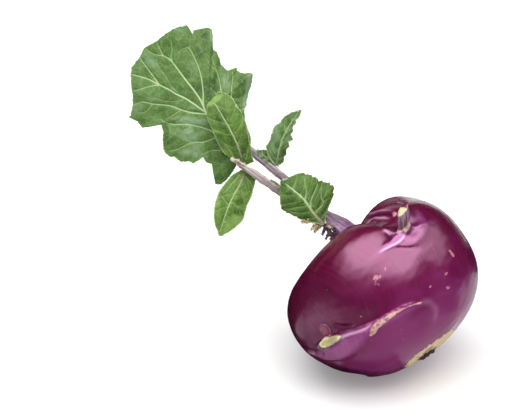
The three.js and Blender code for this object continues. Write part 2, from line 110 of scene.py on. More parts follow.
def along(values: Sequence[float], u: Array) -> Array:
    """A smooth value from an evenly spaced list.

    Args:
        values: the list, which the curve passes through.
        u: where to read it, from 0 at its start to 1 at its end.

    Returns:
        One value for each u.
    """
    listed = np.asarray(values, float)
    x = np.clip(u, 0, 1) * (len(listed) - 1)
    i = np.minimum(x.astype(int), len(listed) - 2)
    f = x - i
    b, c = listed[i], listed[i + 1]
    a = np.where(i > 0, listed[np.maximum(i - 1, 0)], b)
    d = np.where(i + 2 < len(listed), listed[np.minimum(i + 2, len(listed) - 1)], c)
    return b + 0.5 * f * (c - a + f * (2 * a - 5 * b + 4 * c - d + f * (3 * (b - c) + d - a)))


def smooth_path(points: Sequence[Sequence[float]], count: int) -> Array:
    """Evenly spaced points on a smooth centripetal curve through the given ones.

    Args:
        points: two or more points that the curve passes through.
        count: how many points to return, both ends among them.

    Returns:
        An array of count points.
    """
    p = np.asarray(points, float)
    p = np.vstack([2 * p[0] - p[1], p, 2 * p[-1] - p[-2]])
    dense = []
    for i in range(1, len(p) - 2):
        near = p[i - 1 : i + 3]
        steps = np.sqrt(np.linalg.norm(np.diff(near, axis=0), axis=1) + 1e-9)
        knots = [0.0, *np.cumsum(steps)]
        t = np.linspace(knots[1], knots[2], SPAN_POINTS, endpoint=i == len(p) - 3)[:, None]
        for spans in (((0, 1), (1, 2), (2, 3)), ((0, 2), (1, 3)), ((1, 2),)):
            near = [
                a + (b - a) * (t - knots[start]) / (knots[end] - knots[start])
                for a, b, (start, end) in zip(near, near[1:], spans)
            ]
        dense.append(near[0])
    curve = np.vstack(dense)
    run = np.concatenate([[0], np.cumsum(np.linalg.norm(np.diff(curve, axis=0), axis=1))])
    wanted = np.linspace(0, run[-1], count)
    return np.stack([np.interp(wanted, run, curve[:, k]) for k in range(curve.shape[1])], axis=1)


def waves(points: Array, length: float, seed: int) -> Array:
    """Gentle irregular relief, between about -1 and 1, from seeded plane waves.

    Args:
        points: where to evaluate it, in mm.
        length: the mean wavelength in mm.
        seed: the seed, so that the relief is the same in each run.

    Returns:
        One value for each point.
    """
    chance = np.random.default_rng(seed)
    directions = unit(chance.normal(size=(WAVES_ADDED, points.shape[1])))
    lengths = length * chance.uniform(0.65, 1.6, WAVES_ADDED)
    phases = chance.uniform(0, 2 * math.pi, WAVES_ADDED)
    heights = np.sin(points @ directions.T * (2 * math.pi / lengths) + phases)
    return heights.sum(1) / math.sqrt(WAVES_ADDED)


def nearest_on_path(points: Array, path: Array) -> tuple[Array, Array, Array]:
    """Distance from points to a path.

    Args:
        points: the points, in 2 or 3 dimensions.
        path: the path's points.

    Returns:
        For each point its distance to the path, the share of the path run at the nearest place,
        and, in 2 dimensions, the side that it is on: 1 for left of the path, -1 for right.
    """
    a, b = path[:-1], path[1:]
    d = b - a
    best = np.full(len(points), np.inf)
    run, side = np.zeros(len(points)), np.ones(len(points))
    for i in range(len(a)):
        off = points - a[i]
        t = np.clip(off @ d[i] / max(d[i] @ d[i], 1e-12), 0, 1)
        gap = off - t[:, None] * d[i]
        distance = np.sqrt((gap * gap).sum(1))
        closer = distance < best
        best = np.where(closer, distance, best)
        run = np.where(closer, (i + t) / len(a), run)
        if points.shape[1] == 2:
            cross = d[i][0] * gap[:, 1] - d[i][1] * gap[:, 0]
            side = np.where(closer, np.where(cross < 0, -1.0, 1.0), side)
    return best, run, side


def near_line(points: Array, path: Array, reach: float) -> tuple[Array, Array]:
    """Distance to a line in space, infinite beyond its reach, and the share of its run."""
    close = np.all((points > path.min(0) - reach) & (points < path.max(0) + reach), axis=1)
    distance, run = np.full(len(points), np.inf), np.zeros(len(points))
    distance[close], run[close], _ = nearest_on_path(points[close], path)
    return distance, run


def inside(points: Array, outline: Array) -> Array:
    """How far points lie inside a closed outline in a plane, negative outside it."""
    closed = np.vstack([outline, outline[:1]])
    distance, _, _ = nearest_on_path(points, closed)
    odd = np.zeros(len(points), bool)
    for (x0, y0), (x1, y1) in zip(closed[:-1], closed[1:]):
        spans = (y0 > points[:, 1]) != (y1 > points[:, 1])
        slope = (x1 - x0) / (y1 - y0) if y1 != y0 else 0.0
        odd ^= spans & (points[:, 0] < x0 + (points[:, 1] - y0) * slope)
    return np.where(odd, distance, -distance)


# ---- meshes ----


RIBS = 9  # fine ones, round a tube


def readings(data: bpy.types.bpy_prop_collection, name: str, width: int) -> Array:
    """One property, so many numbers wide, of everything in a list that a mesh keeps."""
    flat = np.empty(len(data) * width, np.float32)
    data.foreach_get(name, flat)
    return flat.reshape(-1, width).astype(float)


def coordinates(mesh: Mesh) -> Array:
    """The positions of a mesh's vertices."""
    return readings(mesh.vertices, "co", 3)


def move_vertices(mesh: Mesh, positions: Array) -> None:
    """Puts a mesh's vertices at new positions."""
    mesh.vertices.foreach_set("co", positions.astype(np.float32).ravel())
    mesh.update()


def normals(mesh: Mesh) -> Array:
    """The normals of a mesh's vertices."""
    return readings(mesh.vertex_normals, "vector", 3)


def mark(mesh: Mesh, **marks: Array) -> None:
    """Stores named values, or vectors, on a mesh's vertices for its material to read."""
    for name, values in marks.items():
        kind, slot = ("FLOAT_VECTOR", "vector") if values.ndim == 2 else ("FLOAT", "value")
        layer = mesh.attributes.new(name, kind, "POINT")
        layer.data.foreach_set(slot, values.astype(np.float32).ravel())


def mapped_grid(
    columns: int, rows: int, place: Callable[[Array, Array], Array], closed: bool = False
) -> BMesh:
    """A grid that is bent into a blade or rolled into a tube.

    Args:
        columns: faces across, along u.
        rows: faces along v.
        place: gives the position, in mm, of each u and v from 0 to 1.
        closed: whether the grid is rolled up, so that its seam is joined and its ends are filled.

    Returns:
        The bent grid, with the u and v of each vertex kept in its layers.
    """
    bm = bmesh.new()
    bmesh.ops.create_grid(bm, x_segments=columns, y_segments=rows, size=0.5)
    u_layer = bm.verts.layers.float.new("u")
    v_layer = bm.verts.layers.float.new("v")
    flat = np.array([v.co[:2] for v in bm.verts]) + 0.5
    for vert, (u, v), position in zip(bm.verts, flat, place(flat[:, 0], flat[:, 1])):
        vert[u_layer], vert[v_layer] = u, v
        vert.co = position
    bmesh.ops.remove_doubles(bm, verts=bm.verts, dist=1e-4)
    if closed:
        bmesh.ops.holes_fill(bm, edges=bm.edges, sides=0)
        bmesh.ops.recalc_face_normals(bm, faces=bm.faces)
    return bm


def as_mesh(bm: BMesh, name: str) -> Mesh:
    """Turns a bmesh into a named mesh and frees it."""
    mesh = bpy.data.meshes.new(name)
    bm.to_mesh(mesh)
    bm.free()
    return mesh


def grid_places(mesh: Mesh) -> tuple[Array, Array]:
    """The u and v of each vertex of a mapped grid."""
    u, v = (readings(mesh.attributes[name].data, "value", 1)[:, 0] for name in "uv")
    return u, v


def tube(
    path: Array, radii: Array, sides: int, squash: float = 1.0, groove: float = 0.0,
    fluting: float = 0.0,
) -> BMesh:
    """A closed tube along a path, with its flatter, channelled side to the front.

    Args:
        path: the points of its axis.
        radii: its radius at each of them.
        sides: faces round it.
        squash: its depth as a share of its width.
        groove: how deep the channel along its front is, as a share of the radius.
        fluting: how far its fine lengthwise ribs stand out, as a share of the radius.

    Returns:
        The tube, whose ends are filled.
    """
    tangents = unit(np.gradient(path, axis=0))
    front = np.array([0.0, 0.0, 1.0])
    faces = unit(front - tangents * (tangents @ front)[:, None])
    aside = np.cross(tangents, faces)

    def place(u: Array, v: Array) -> Array:
        """The tube's surface."""
        i = np.rint(v * (len(path) - 1)).astype(int)
        turn = 2 * math.pi * u
        x, z = np.sin(turn), np.cos(turn)
        dent = 1 - groove * np.maximum(0, z) ** 3
        ribs = 1 + fluting * np.cos(RIBS * turn + 0.02 * i)
        r = (radii[i] * ribs)[:, None]
        return path[i] + aside[i] * x[:, None] * r + faces[i] * (z * dent)[:, None] * r * squash

    return mapped_grid(sides, len(path) - 1, place, closed=True)


def in_scene(name: str, data: bpy.types.ID) -> Object:
    """A new object in the scene, with a mesh, a lamp or a camera as its data."""
    thing = bpy.data.objects.new(name, data)
    bpy.context.scene.collection.objects.link(thing)
    return thing


def joined(parts: Sequence[BMesh], name: str) -> Mesh:
    """Several closed shapes in one mesh, still overlapping."""
    whole = bmesh.new()
    for part in parts:
        whole.from_mesh(as_mesh(part, name + "_part"))
    return as_mesh(whole, name)


def fused(mesh: Mesh, voxel: float, rounds: int) -> Mesh:
    """Overlapping closed shapes grown together into one skin.

    Args:
        mesh: the shapes, in mm.
        voxel: the size of the new skin's faces, in mm.
        rounds: how often it is smoothed.

    Returns:
        The new mesh.
    """
    carrier = in_scene(mesh.name, mesh)
    remesh = carrier.modifiers.new("one skin", "REMESH")
    remesh.mode, remesh.voxel_size = "VOXEL", voxel
    graph = bpy.context.evaluated_depsgraph_get()
    bm = bmesh.new()
    bm.from_mesh(bpy.data.meshes.new_from_object(carrier.evaluated_get(graph)))
    bpy.data.objects.remove(carrier)
    for _ in range(rounds):
        bmesh.ops.smooth_vert(
            bm, verts=bm.verts, factor=0.5, use_axis_x=True, use_axis_y=True, use_axis_z=True
        )
    return as_mesh(bm, mesh.name)


def stand(
    mesh: Mesh, name: str, slot: Slot, finishes: Sequence[Material], replaced: Sequence[str] = ()
) -> Object:
    """Puts a finished mesh in the scene as a piece of the kohlrabi.

    Args:
        mesh: the mesh, in mm in the leaning frame.
        name: the piece's name.
        slot: the record's material slot that it belongs to; not used.
        finishes: its materials.
        replaced: the plain solids that it stands for.

    Returns:
        The new object, at the origin.
    """
    mesh.transform(SLOPE)
    mesh.name = name
    mesh.shade_smooth()
    for finish in finishes:
        mesh.materials.append(finish)
    piece = in_scene(name, mesh)
    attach(piece, "root")
    if replaced:
        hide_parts(*replaced)
    return piece


# ---- materials ----


Socket = bpy.types.NodeSocket
Feed = Socket | float | str | Sequence[float] | None


def linear(code: str) -> tuple[float, float, float, float]:
    """The linear colour of an sRGB hex code."""
    shares = [int(code[i : i + 2], 16) / 255 for i in (1, 3, 5)]
    red, green, blue = [s / 12.92 if s <= 0.04045 else ((s + 0.055) / 1.055) ** 2.4 for s in shares]
    return red, green, blue, 1.0


class Graph:
    """A new material and the nodes that feed its shader."""

    def __init__(self, name: str) -> None:
        """Starts a material that has only its shader."""
        self.material = bpy.data.materials.new(name)
        self.material.use_nodes = True
        self.tree = self.material.node_tree
        self.shader = self.tree.nodes["Principled BSDF"]

    def feed(self, target: Socket, value: Feed) -> None:
        """Gives an input a link, a number, a vector or a hex colour, or leaves it as it is."""
        if isinstance(value, Socket):
            self.tree.links.new(value, target)
        elif value is not None:
            target.default_value = linear(value) if isinstance(value, str) else value

    def add(
        self, kind: str, *feeds: Feed, out: str = "", stops: Sequence[tuple[float, str]] = (),
        **settings: str,
    ) -> Socket:
        """Adds a node with its settings and links.

        Args:
            kind: its type, without the ShaderNode prefix.
            feeds: what goes into those of its inputs that are in use, in their order.
            out: the name of the output that is wanted, where that isn't the first.
            stops: the places and hex colours of a colour ramp.
            settings: its other properties.

        Returns:
            The wanted output.
        """
        node = self.tree.nodes.new("ShaderNode" + kind)
        for name, value in settings.items():
            setattr(node, name, value)
        if stops:
            node.color_ramp.interpolation = "EASE"
        for i, (position, code) in enumerate(stops):
            knots = node.color_ramp.elements
            knot = knots[i] if i < 2 else knots.new(position)
            knot.position, knot.color = position, linear(code)
        for target, value in zip([s for s in node.inputs if s.enabled], feeds):
            self.feed(target, value)
        return next(s for s in node.outputs if s.enabled and out in ("", s.name))

    def finish(self, **feeds: Feed) -> Material:
        """Feeds the shader's inputs, whose names have _ for each space, and gives the material."""
        for name, value in feeds.items():
            self.feed(self.shader.inputs[name.replace("_", " ")], value)
        return self.material


# ---- finishes ----


@dataclass(frozen=True)
class WaxySkin:
    """Kohlrabi skin, grown: a smooth cutin skin full of anthocyanin under a thin bloom of wax.

    To the eye it is deep magenta-purple at the crown and greyer violet towards the root, with a
    soft, broad gloss; lilac where old leaves clasped it, pale green where stalks were cut, tan
    where it is corky, and straw-coloured wood at the root end. Its colour also holds painted
    shade, on the stem's left side and along grooves, and painted highlights along fine ribs.
    """

    crown: str = "#6A0C38"
    shoulder: str = "#4E0522"
    flank: str = "#4C072A"
    waist: str = "#560B34"
    belly: str = "#73245A"
    root_side: str = "#7C3A66"
    flush: str = "#861458"
    lilac: str = "#9A4A8C"
    # pale wax specks, and the colour of painted highlights along fine ribs
    crest: str = "#E0A4D2"
    # painted shade, laid on the stem's left side and along grooves
    painted_shade: str = "#3A0A24"
    flesh: str = "#9A9A55"
    flesh_grain: str = "#7E7A3C"
    flesh_rim: str = "#CCD09E"
    cork: str = "#BFA088"
    bud_scale: str = "#7A384C"
    bud_seam: str = "#5C2440"
    bud_edge: str = "#94708A"
    bruise: str = "#B97F88"
    post: str = "#8A6A80"
    post_dark: str = "#5A4048"
    wood: str = "#CDBB8E"
    wood_dark: str = "#97804E"
    stain: str = "#8C7B34"
    stump: str = "#2A2012"
    border: str = "#5E3640"
    cloud_mm: float = 16.0
    streak_mm: float = 1.6
    streak_long_mm: float = 16.7
    dot_mm: float = 5.0
    pore_mm: float = 0.8  # a real pore is a tenth of this, too fine to show
    crumb_mm: float = 1.43
    tear_mm: float = 2.38
    flesh_cell_mm: float = 0.77  # real ones are a third of this, too fine to show
    fibre_mm: float = 1.43
    fibre_long_mm: float = 11.1
    ring_mm: float = 0.4167
    ring_long_mm: float = 3.33
    relief_mm: float = 0.12
    root_starts: float = 158 / 180  # share of the way from the crown to the root

    def make(self) -> Material:
        """The skin's material."""
        graph = Graph("waxy kohlrabi skin")
        add = graph.add
        place = add("TexCoord", out="Object")
        grain = add("Attribute", out="Vector", attribute_name="grain")
        marks = {
            name: add("Attribute", out="Fac", attribute_name=name)
            for name in ("lilac", "cut", "cut_rim", "cork", "rootward", "bruise", "bud", "shade",
                         "pale", "post", "stain", "remnant")
        }
        cloud = add("TexNoise", place, PER_M / self.cloud_mm, 2.0)
        streak = add("VectorMath", grain, (1 / self.streak_mm, 1 / self.streak_long_mm, 1),
                     operation="MULTIPLY")
        streak = add("TexNoise", streak, 1.0, 3.0)
        cell = add("TexVoronoi", place, PER_M / self.dot_mm)
        broken = add("TexNoise", place, PER_M / self.crumb_mm, 4.0)
        torn = add("TexNoise", place, PER_M / self.tear_mm, 4.0)

        drift = add("MapRange", cloud, *NOISE, -0.07, 0.07)
        base = add("ValToRGB", add("Math", marks["rootward"], drift, operation="ADD"),
                   stops=((0.12, self.crown), (0.37, self.shoulder), (0.49, self.flank),
                          (0.57, self.waist), (0.71, self.belly), (0.92, self.root_side)))
        clouded = add("MapRange", streak, *NOISE, 0.7, 1.0)
        lilac = add("Math", marks["lilac"], clouded, operation="MULTIPLY")
        scale = add("ValToRGB", marks["bud"],
                    stops=((0.3, self.bud_edge), (0.62, self.bud_seam), (0.8, self.bud_scale)))
        healed = add("Math", marks["bruise"], torn, operation="MULTIPLY")
        cork = add("Math", marks["cork"], broken, operation="MULTIPLY")
        cork = add("MapRange", cork, 0.3, 0.52)
        flesh = add("ValToRGB", add("TexVoronoi", place, PER_M / self.flesh_cell_mm),
                    stops=((0.1, self.flesh_grain), (0.6, self.flesh)))
        flesh = add("Mix", marks["cut_rim"], flesh, self.flesh_rim, data_type="RGBA")
        across, lengthwise = PER_M / self.fibre_mm, PER_M / self.fibre_long_mm
        fibre = add("VectorMath", place, (across, across, lengthwise), operation="MULTIPLY")
        fibre = add("TexNoise", fibre, 1.0, 2.0)
        post = add("ValToRGB", fibre, stops=((0.38, self.post_dark), (0.6, self.post)))

        start = self.root_starts
        uneven = add("MapRange", broken, *NOISE, -0.01, 0.01)
        rootward = add("Math", marks["rootward"], uneven, operation="ADD")
        is_wood = add("MapRange", rootward, start, start + 0.006)
        rings = add("VectorMath", grain, (1 / self.ring_long_mm, 1 / self.ring_mm, 1),
                    operation="MULTIPLY")
        wood = add("ValToRGB", add("TexNoise", rings, 1.0, 4.0),
                   stops=((0.34, self.wood_dark), (0.52, self.wood)))
        wood = add("Mix", marks["stain"], wood, self.stain, data_type="RGBA")
        wood = add("Mix", marks["remnant"], wood, self.stump, data_type="RGBA")
        for share, coat in (
            (add("MapRange", streak, *NOISE, 0.0, 0.24), self.flush),
            (add("MapRange", cell, 0.03, 0.05, 0.3, 0.0), self.crest),
            # painted shade (the shade mark), then painted highlights (the pale mark, in the crest
            # colour)
            (lilac, self.lilac), (marks["post"], post), (marks["shade"], self.painted_shade),
            (marks["pale"], self.crest), (add("MapRange", marks["bud"], 0.1, 0.4), scale),
            (add("MapRange", healed, 0.4, 0.52, 0.0, 0.85), self.bruise), (cork, self.cork),
            (marks["cut"], flesh),
            (add("MapRange", rootward, start - 0.012, start - 0.004, 0.0, 0.55), self.border),
            (is_wood, wood),
        ):
            base = add("Mix", share, base, coat, data_type="RGBA")

        dull = add("Math", marks["cut"], cork, operation="MAXIMUM")
        dull = add("Math", dull, is_wood, operation="MAXIMUM")
        rough = add("Mix", dull, add("MapRange", cloud, *NOISE, 0.21, 0.27), 0.8)
        pores = add("TexNoise", place, PER_M / self.pore_mm, 2.0)
        bump = add("Bump", 0.22, self.relief_mm * MM, None, add("Mix", dull, pores, broken))
        return graph.finish(
            Base_Color=base, Roughness=rough, Normal=bump, IOR=1.48, Specular_IOR_Level=1.0,
            Specular_Tint="#FFC2E9", Subsurface_Weight=0.06, Subsurface_Scale=0.001,
            Subsurface_Radius=(1.0, 0.25, 0.5))


@dataclass(frozen=True)
class LeafFace:
    """One face of a brassica leaf: green leaf tissue under wax, with a pale net of veins.

    To the eye the upper face is mid-green with a bluish bloom, its veins thin and cream-coloured
    and tinged mauve at the stalk; the under face is paler and greyer, with thicker whitish veins.
    """

    name: str
    # deep and bloom are also the colours that painted shade and painted light on a blade mix
    # towards
    deep: str
    light: str
    bloom: str
    vein: str
    stalk_tinge: str = "#877A72"
    bloom_share: float = 0.2
    net_share: float = 0.2
    vein_spread: float = 1.0
    roughness: float = 0.52
    mottle_mm: float = 5.5
    grain_mm: float = 0.909
    net_mm: float = 4.2
    fine_net_mm: float = 1.3  # the real finest net is 0.5 mm, too fine to show
    wobble_mm: float = 2.5
    wobble_reach_mm: float = 3.4
    vein_edge_mm: float = 0.22
    relief_mm: float = 0.22

    def make(self) -> Material:
        """The face's material."""
        graph = Graph(self.name)
        add = graph.add
        leaf = add("Attribute", out="Vector", attribute_name="leaf")
        side, near, half, midrib, rim, tone = (
            add("Attribute", out="Fac", attribute_name=name)
            for name in ("vein_side", "vein_near", "vein_half", "midrib", "rim", "tone")
        )
        fine = add("TexNoise", leaf, 1 / self.grain_mm, 4.0)
        wobble = add("TexNoise", leaf, 1 / self.wobble_mm, 3.0, out="Color")
        reach = (self.wobble_reach_mm, self.wobble_reach_mm, 0.0)
        bent = add("VectorMath", wobble, reach, leaf, operation="MULTIPLY_ADD")
        on_net, on_fine = (
            add("MapRange",
                add("TexVoronoi", bent, 1 / size, feature="DISTANCE_TO_EDGE",
                    voronoi_dimensions="2D"), outer, inner, 0.0, share * self.net_share)
            for size, outer, inner, share in ((self.net_mm, 0.075, 0.02, 1.0),
                                              (self.fine_net_mm, 0.14, 0.03, 0.5))
        )
        across = add("Math", side, operation="ABSOLUTE")
        wide = add("Math", half, self.vein_spread, operation="MULTIPLY")
        edge = add("Math", wide, self.vein_edge_mm, operation="ADD")
        on_vein = add("MapRange", across, edge, wide)
        strong = add("MapRange", half, 0.05, 0.34, 0.2, 0.95)
        for share in (add("MapRange", near, 1.6, 1.0), strong):
            on_vein = add("Math", on_vein, share, operation="MULTIPLY")

        mottle = add("TexNoise", leaf, 1 / self.mottle_mm, 5.0)
        mottle = add("MapRange", mottle, *NOISE, 0.14, 0.71)
        # painted light and shade from the blade's listed patches, laid over random mottle
        base = add("ValToRGB", add("Math", tone, 0.5, mottle, operation="MULTIPLY_ADD"),
                   stops=((0.0, self.deep), (0.5, self.light), (1.0, self.bloom)))
        tinged = add("MapRange", midrib, 0.45, 0.95)
        rib = add("Mix", tinged, self.vein, self.stalk_tinge, data_type="RGBA")
        for share, coat in (
            (add("MapRange", fine, 0.35, 0.65, 0.0, self.bloom_share), self.bloom),
            (on_fine, self.light), (on_net, self.light),
            (add("MapRange", near, 1.8, 0.2, 0.0, 0.25), self.light),
            (add("Math", on_net, 0.6, operation="MULTIPLY"), rib), (on_vein, rib),
            (add("MapRange", rim, 1.2, 0.3, 0.0, 0.55), self.vein),
        ):
            base = add("Mix", share, base, coat, data_type="RGBA")

        height = add("Math", on_net, -0.8, fine, operation="MULTIPLY_ADD")
        height = add("Math", on_fine, -0.8, height, operation="MULTIPLY_ADD")
        rough = add("MapRange", fine, *NOISE, self.roughness - 0.06, self.roughness + 0.08)
        return graph.finish(
            Base_Color=base, Roughness=rough, IOR=1.43, Specular_IOR_Level=0.22,
            Normal=add("Bump", 0.7, self.relief_mm * MM, None, height), Sheen_Weight=0.06,
            Sheen_Roughness=0.4)


@dataclass(frozen=True)
class StalkSkin:
    """Leaf-stalk skin, grown: a smooth, finely ribbed rind, purple with pale wax.

    To the eye it is bright purple where it leaves the stem, and turns dull mauve and then greyish
    green towards the leaf, with fine paler lines along it.
    """

    name: str = "leaf stalk rind"
    foot: str = "#84448A"
    dark: str = "#4A2540"
    mauve: str = "#6F5C65"
    tip: str = "#958E84"
    wax: str = "#B4A5AC"
    worn: str = "#BDB3A2"
    fibre: str = "#6E5D50"
    line_mm: float = 9.1  # how far a pale line runs
    lines_round: float = 2.2
    blotch_mm: float = 6.25
    relief_mm: float = 0.25

    def make(self) -> Material:
        """The rind's material."""
        graph = Graph(self.name)
        add = graph.add
        run, foot, frayed = (add("Attribute", out="Fac", attribute_name=name)
                             for name in ("run", "foot", "broken"))
        grain = add("Attribute", out="Vector", attribute_name="grain")
        fineness = (self.lines_round, self.lines_round, 1 / self.line_mm)
        grain = add("VectorMath", grain, fineness, operation="MULTIPLY")
        lines = add("TexNoise", grain, 1.0, 4.0)
        blotch = add("TexNoise", add("TexCoord", out="Object"), PER_M / self.blotch_mm, 3.0)
        base = add("ValToRGB", run, stops=((0.0, self.dark), (0.5, self.mauve), (1.0, self.tip)))
        fibres = add("ValToRGB", lines, stops=((0.4, self.fibre), (0.55, self.worn)))
        for share, coat in (
            (foot, self.foot), (add("MapRange", lines, 0.48, 0.68, 0.0, 0.7), self.wax),
            (add("MapRange", blotch, 0.5, 0.75, 0.0, 0.6), self.dark), (frayed, fibres),
        ):
            base = add("Mix", share, base, coat, data_type="RGBA")
        return graph.finish(
            Base_Color=base, Roughness=add("MapRange", lines, *NOISE, 0.36, 0.52),
            Normal=add("Bump", 0.6, self.relief_mm * MM, None, lines), IOR=1.46,
            Coat_Weight=0.2, Coat_Roughness=0.35)


# ---- the swollen stem ----


@dataclass(frozen=True)
class Swelling:
    """A soft swelling, or hollow, of the stem: where it is, its height in mm, its spread in rad."""

    azimuth: float
    polar: float
    height: float
    spread: float


@dataclass(frozen=True)
class LeafBase:
    """Where an old leaf was cut off: its clasping ridge, apron and stub.

    Azimuth and polar angle, in degrees round and from the crown, say where the stub stands. Each
    arm gives where the ridge ends, to the left and to the right. The stub has a length, width and
    thickness in mm, leans to the crown by tilt and sideways by turn, and its oval is turned round
    by twist degrees. An apron with a drawn outline takes the place of the plain rounded one.
    """

    azimuth: float
    polar: float
    arms: tuple[Pair, Pair]
    length: float
    width: float
    thick: float
    tilt: float
    turn: float
    twist: float = 0.0
    cut_faces: Triple | None = None  # else it faces outwards and crownwards
    apron: tuple[Pair, ...] = ()
    apron_height: float = 1.4
    flare: float = 0.75  # how much wider the stub is at its foot
    waxiness: float = 0.9  # of its apron
    fresh: float = 0.0  # how pale the whole cut still is


@dataclass(frozen=True)
class Spot:
    """A small mark on the skin: its place in degrees, its size, turn, and relief in mm."""

    azimuth: float
    polar: float
    length: float
    width: float
    turn: float = 0.0
    height: float = 0.0


@dataclass(frozen=True)
class Fold:
    """A fine rib, or a groove, drawn on the skin through places in degrees.

    Width and height are in mm, and the height is negative for a groove; pale lays a painted
    highlight along it, and dark lays painted shade in it, except behind the front stub, where it
    marks a dry torn edge.
    """

    places: tuple[Pair, ...]
    width: float
    height: float
    pale: float = 0.0
    dark: float = 0.0


FAR_OUTSIDE = -30.0  # mm


@dataclass(frozen=True)
class StemForm:
    """The stem's skin as a formula: every place on it is a direction from its centre."""

    equator: float = 47.0
    crown_rise: float = 31.5
    root_drop: float = 38.3
    crown_squareness: float = 2.6
    root_squareness: float = 2.3
    hollow_depth: float = 6.5
    hollow_spread: float = 0.3
    ridge_curve: float = 0.6
    ridge_reach: float = 1.5  # in lengths of a ridge's arm
    apron_length: float = 8.5
    apron_reach: float = 26.0  # degrees
    apron_edge: float = 0.2  # softness, as a share of its length
    furrow_depth: float = 1.8
    furrow_width: float = 4.5
    channel_depth: float = 4.6
    channel_width: float = 0.15
    channel_starts: float = -0.08  # share of the way from the crown to the stub
    channel_ends: float = 0.86
    channel_softness: Pair = (0.08, 0.05)  # of its start and end
    swellings: tuple[Swelling, ...] = (
        Swelling(20, 42, 6.4, 0.35),  # rear shoulder, the highest
        Swelling(-174, 28, -7, 0.38),  # sloping left shoulder
        Swelling(-95, 60, 1.2, 0.35),  # front shoulder
        Swelling(-4, 92, -1.1, 0.6),  # right flank
        Swelling(-156, 92, 2.6, 0.3),  # under the lower left stub
        Swelling(-178, 122, -3.4, 0.3),  # waist below it
        Swelling(100, 70, 1.6, 0.4),  # rear flank
        Swelling(55, 118, -1.4, 0.34),  # dip on the hidden side
    )
    bases: tuple[LeafBase, ...] = (
        LeafBase(136, 128, ((-27, 4), (30, 5)), 3.0, 8.5, 4.6, 0.3, 0),
        LeafBase(38, 118, ((-24, 5), (27, 5)), 2.6, 9, 4.6, 0.35, 0),
        LeafBase(
            -136.6, 102.6, ((-24, 5), (56, 14)), 2.4, 13, 4.6, 0.4, 0.5, -12,
            apron=((-150, 99.5), (-159, 102), (-156, 107), (-150, 112), (-144.6, 115.2),
                   (-136.3, 117), (-128.2, 117.2), (-120.9, 116), (-113.5, 114), (-113, 111.5),
                   (-120, 107), (-130, 103.5)),
            apron_height=1.0,
        ),
        LeafBase(82, 91, ((-24, 6), (26, 5)), 5.0, 9.6, 5.4, 0.5, 0.1),
        LeafBase(
            -60, 77, ((-23, 2.5), (19, 3)), 10.6, 6.8, 4.8, 0.74, 0.26,
            cut_faces=(-0.5, 0.56, 0.66), flare=0.1, waxiness=0.4, fresh=0.7,
            apron=((-52, 72), (-45, 65), (-37, 63.5), (-36.3, 67), (-39.2, 74.7), (-43.8, 81.8),
                   (-49.5, 85.6), (-55.3, 87.4), (-62.1, 88), (-67.4, 85.8), (-73, 82),
                   (-68, 80.5), (-62, 79.5), (-57, 77)),
            apron_height=0.45,
        ),
        LeafBase(134, 61, ((-24, 5), (24, 6)), 6.5, 8, 5, 0.7, 0),
        LeafBase(62, 50, ((-22, 6), (24, 6)), 5.5, 6.6, 4.4, 0.6, -0.1),
    )
    front_stub: int = 4

    @property
    def axes(self) -> tuple[Array, Array, Array]:
        """Unit directions across, behind and up the crown's axis."""
        crown = unit((-0.575, 0.8, -0.17))
        across = np.array([0.81, 0.585, 0.0])
        across = unit(across - crown * (across @ crown))
        return across, np.cross(crown, across), crown

    def heading(self, azimuth: Array, polar: Array) -> Array:
        """Directions from the stem's centre, from angles in degrees."""
        a, p = np.radians(azimuth), np.radians(polar)
        across, behind, crown = self.axes
        return (
            (np.sin(p) * np.cos(a))[..., None] * across
            + (np.sin(p) * np.sin(a))[..., None] * behind
            + np.cos(p)[..., None] * crown
        )

    def angles(self, w: Array) -> tuple[Array, Array]:
        """Azimuth and polar angle, in degrees, of directions."""
        across, behind, crown = self.axes
        azimuth = np.degrees(np.arctan2(w @ behind, w @ across))
        return azimuth, np.degrees(np.arccos(np.clip(w @ crown, -1, 1)))

    def stem_radius(self, w: Array) -> Array:
        """Radius of the plain stem: two half superellipsoids with full shoulders."""
        up = w @ self.axes[2]
        out = np.sqrt(np.maximum(0, 1 - up * up))
        height = np.where(up > 0, self.crown_rise, self.root_drop)
        power = np.where(up > 0, self.crown_squareness, self.root_squareness)
        return (np.abs(up / height) ** power + (out / self.equator) ** power) ** (-1 / power)

    def round_base(self, base: LeafBase, w: Array) -> tuple[Array, Array, Array]:
        """Where directions are round a leaf base.

        Args:
            base: the leaf base.
            w: the directions.

        Returns:
            How far out along its ridge they are, as a share of that arm; their height above the
            ridge in mm; and how far down a plain apron they are, where 1 is its edge.
        """
        azimuth, polar = self.angles(w)
        turn = (azimuth - base.azimuth + 540) % 360 - 180
        (left, left_drop), (right, right_drop) = base.arms
        share = turn / np.where(turn < 0, left, right)
        drop = np.where(turn < 0, left_drop, right_drop) * np.clip(share, 0, 3) ** self.ridge_curve
        above = (base.polar + drop - polar) * self.stem_radius(w) * math.pi / 180
        return share, above, -above / self.apron_length + (turn / self.apron_reach) ** 2

    def base_relief(self, base: LeafBase, w: Array) -> Array:
        """Height that the apron and the furrow of a leaf base add to the stem."""
        share, above, down = self.round_base(base, w)
        on_base = share <= self.ridge_reach
        x = above / self.furrow_width
        furrow = -self.furrow_depth * x * np.exp((1 - x * x) / 2 - 2 * share**2.4)
        if base.apron:
            apron = base.apron_height * step(-1.2, 1.6, self.apron_depth(base, w))
        else:
            edge = 1 + np.exp((down - 1) / self.apron_edge)
            apron = base.apron_height * np.exp(-1.6 * share**2) / edge * (on_base & (above <= 0))
        return np.where(on_base & (above > 0), furrow, 0) + apron

    def apron_depth(self, base: LeafBase, w: Array) -> Array:
        """How far inside a base's apron each direction is, in mm, negative outside it."""
        outline = smooth_path([*base.apron, base.apron[0]], 72)[:-1]
        depth = np.full(len(w), FAR_OUTSIDE)
        near = w @ self.heading(base.azimuth, base.polar) > 0.75
        rim = self.heading(*outline.T)
        flat_rim, flat = (self.flat_about(base.azimuth, base.polar, d) for d in (rim, w[near]))
        depth[near] = inside(flat, flat_rim)
        return depth

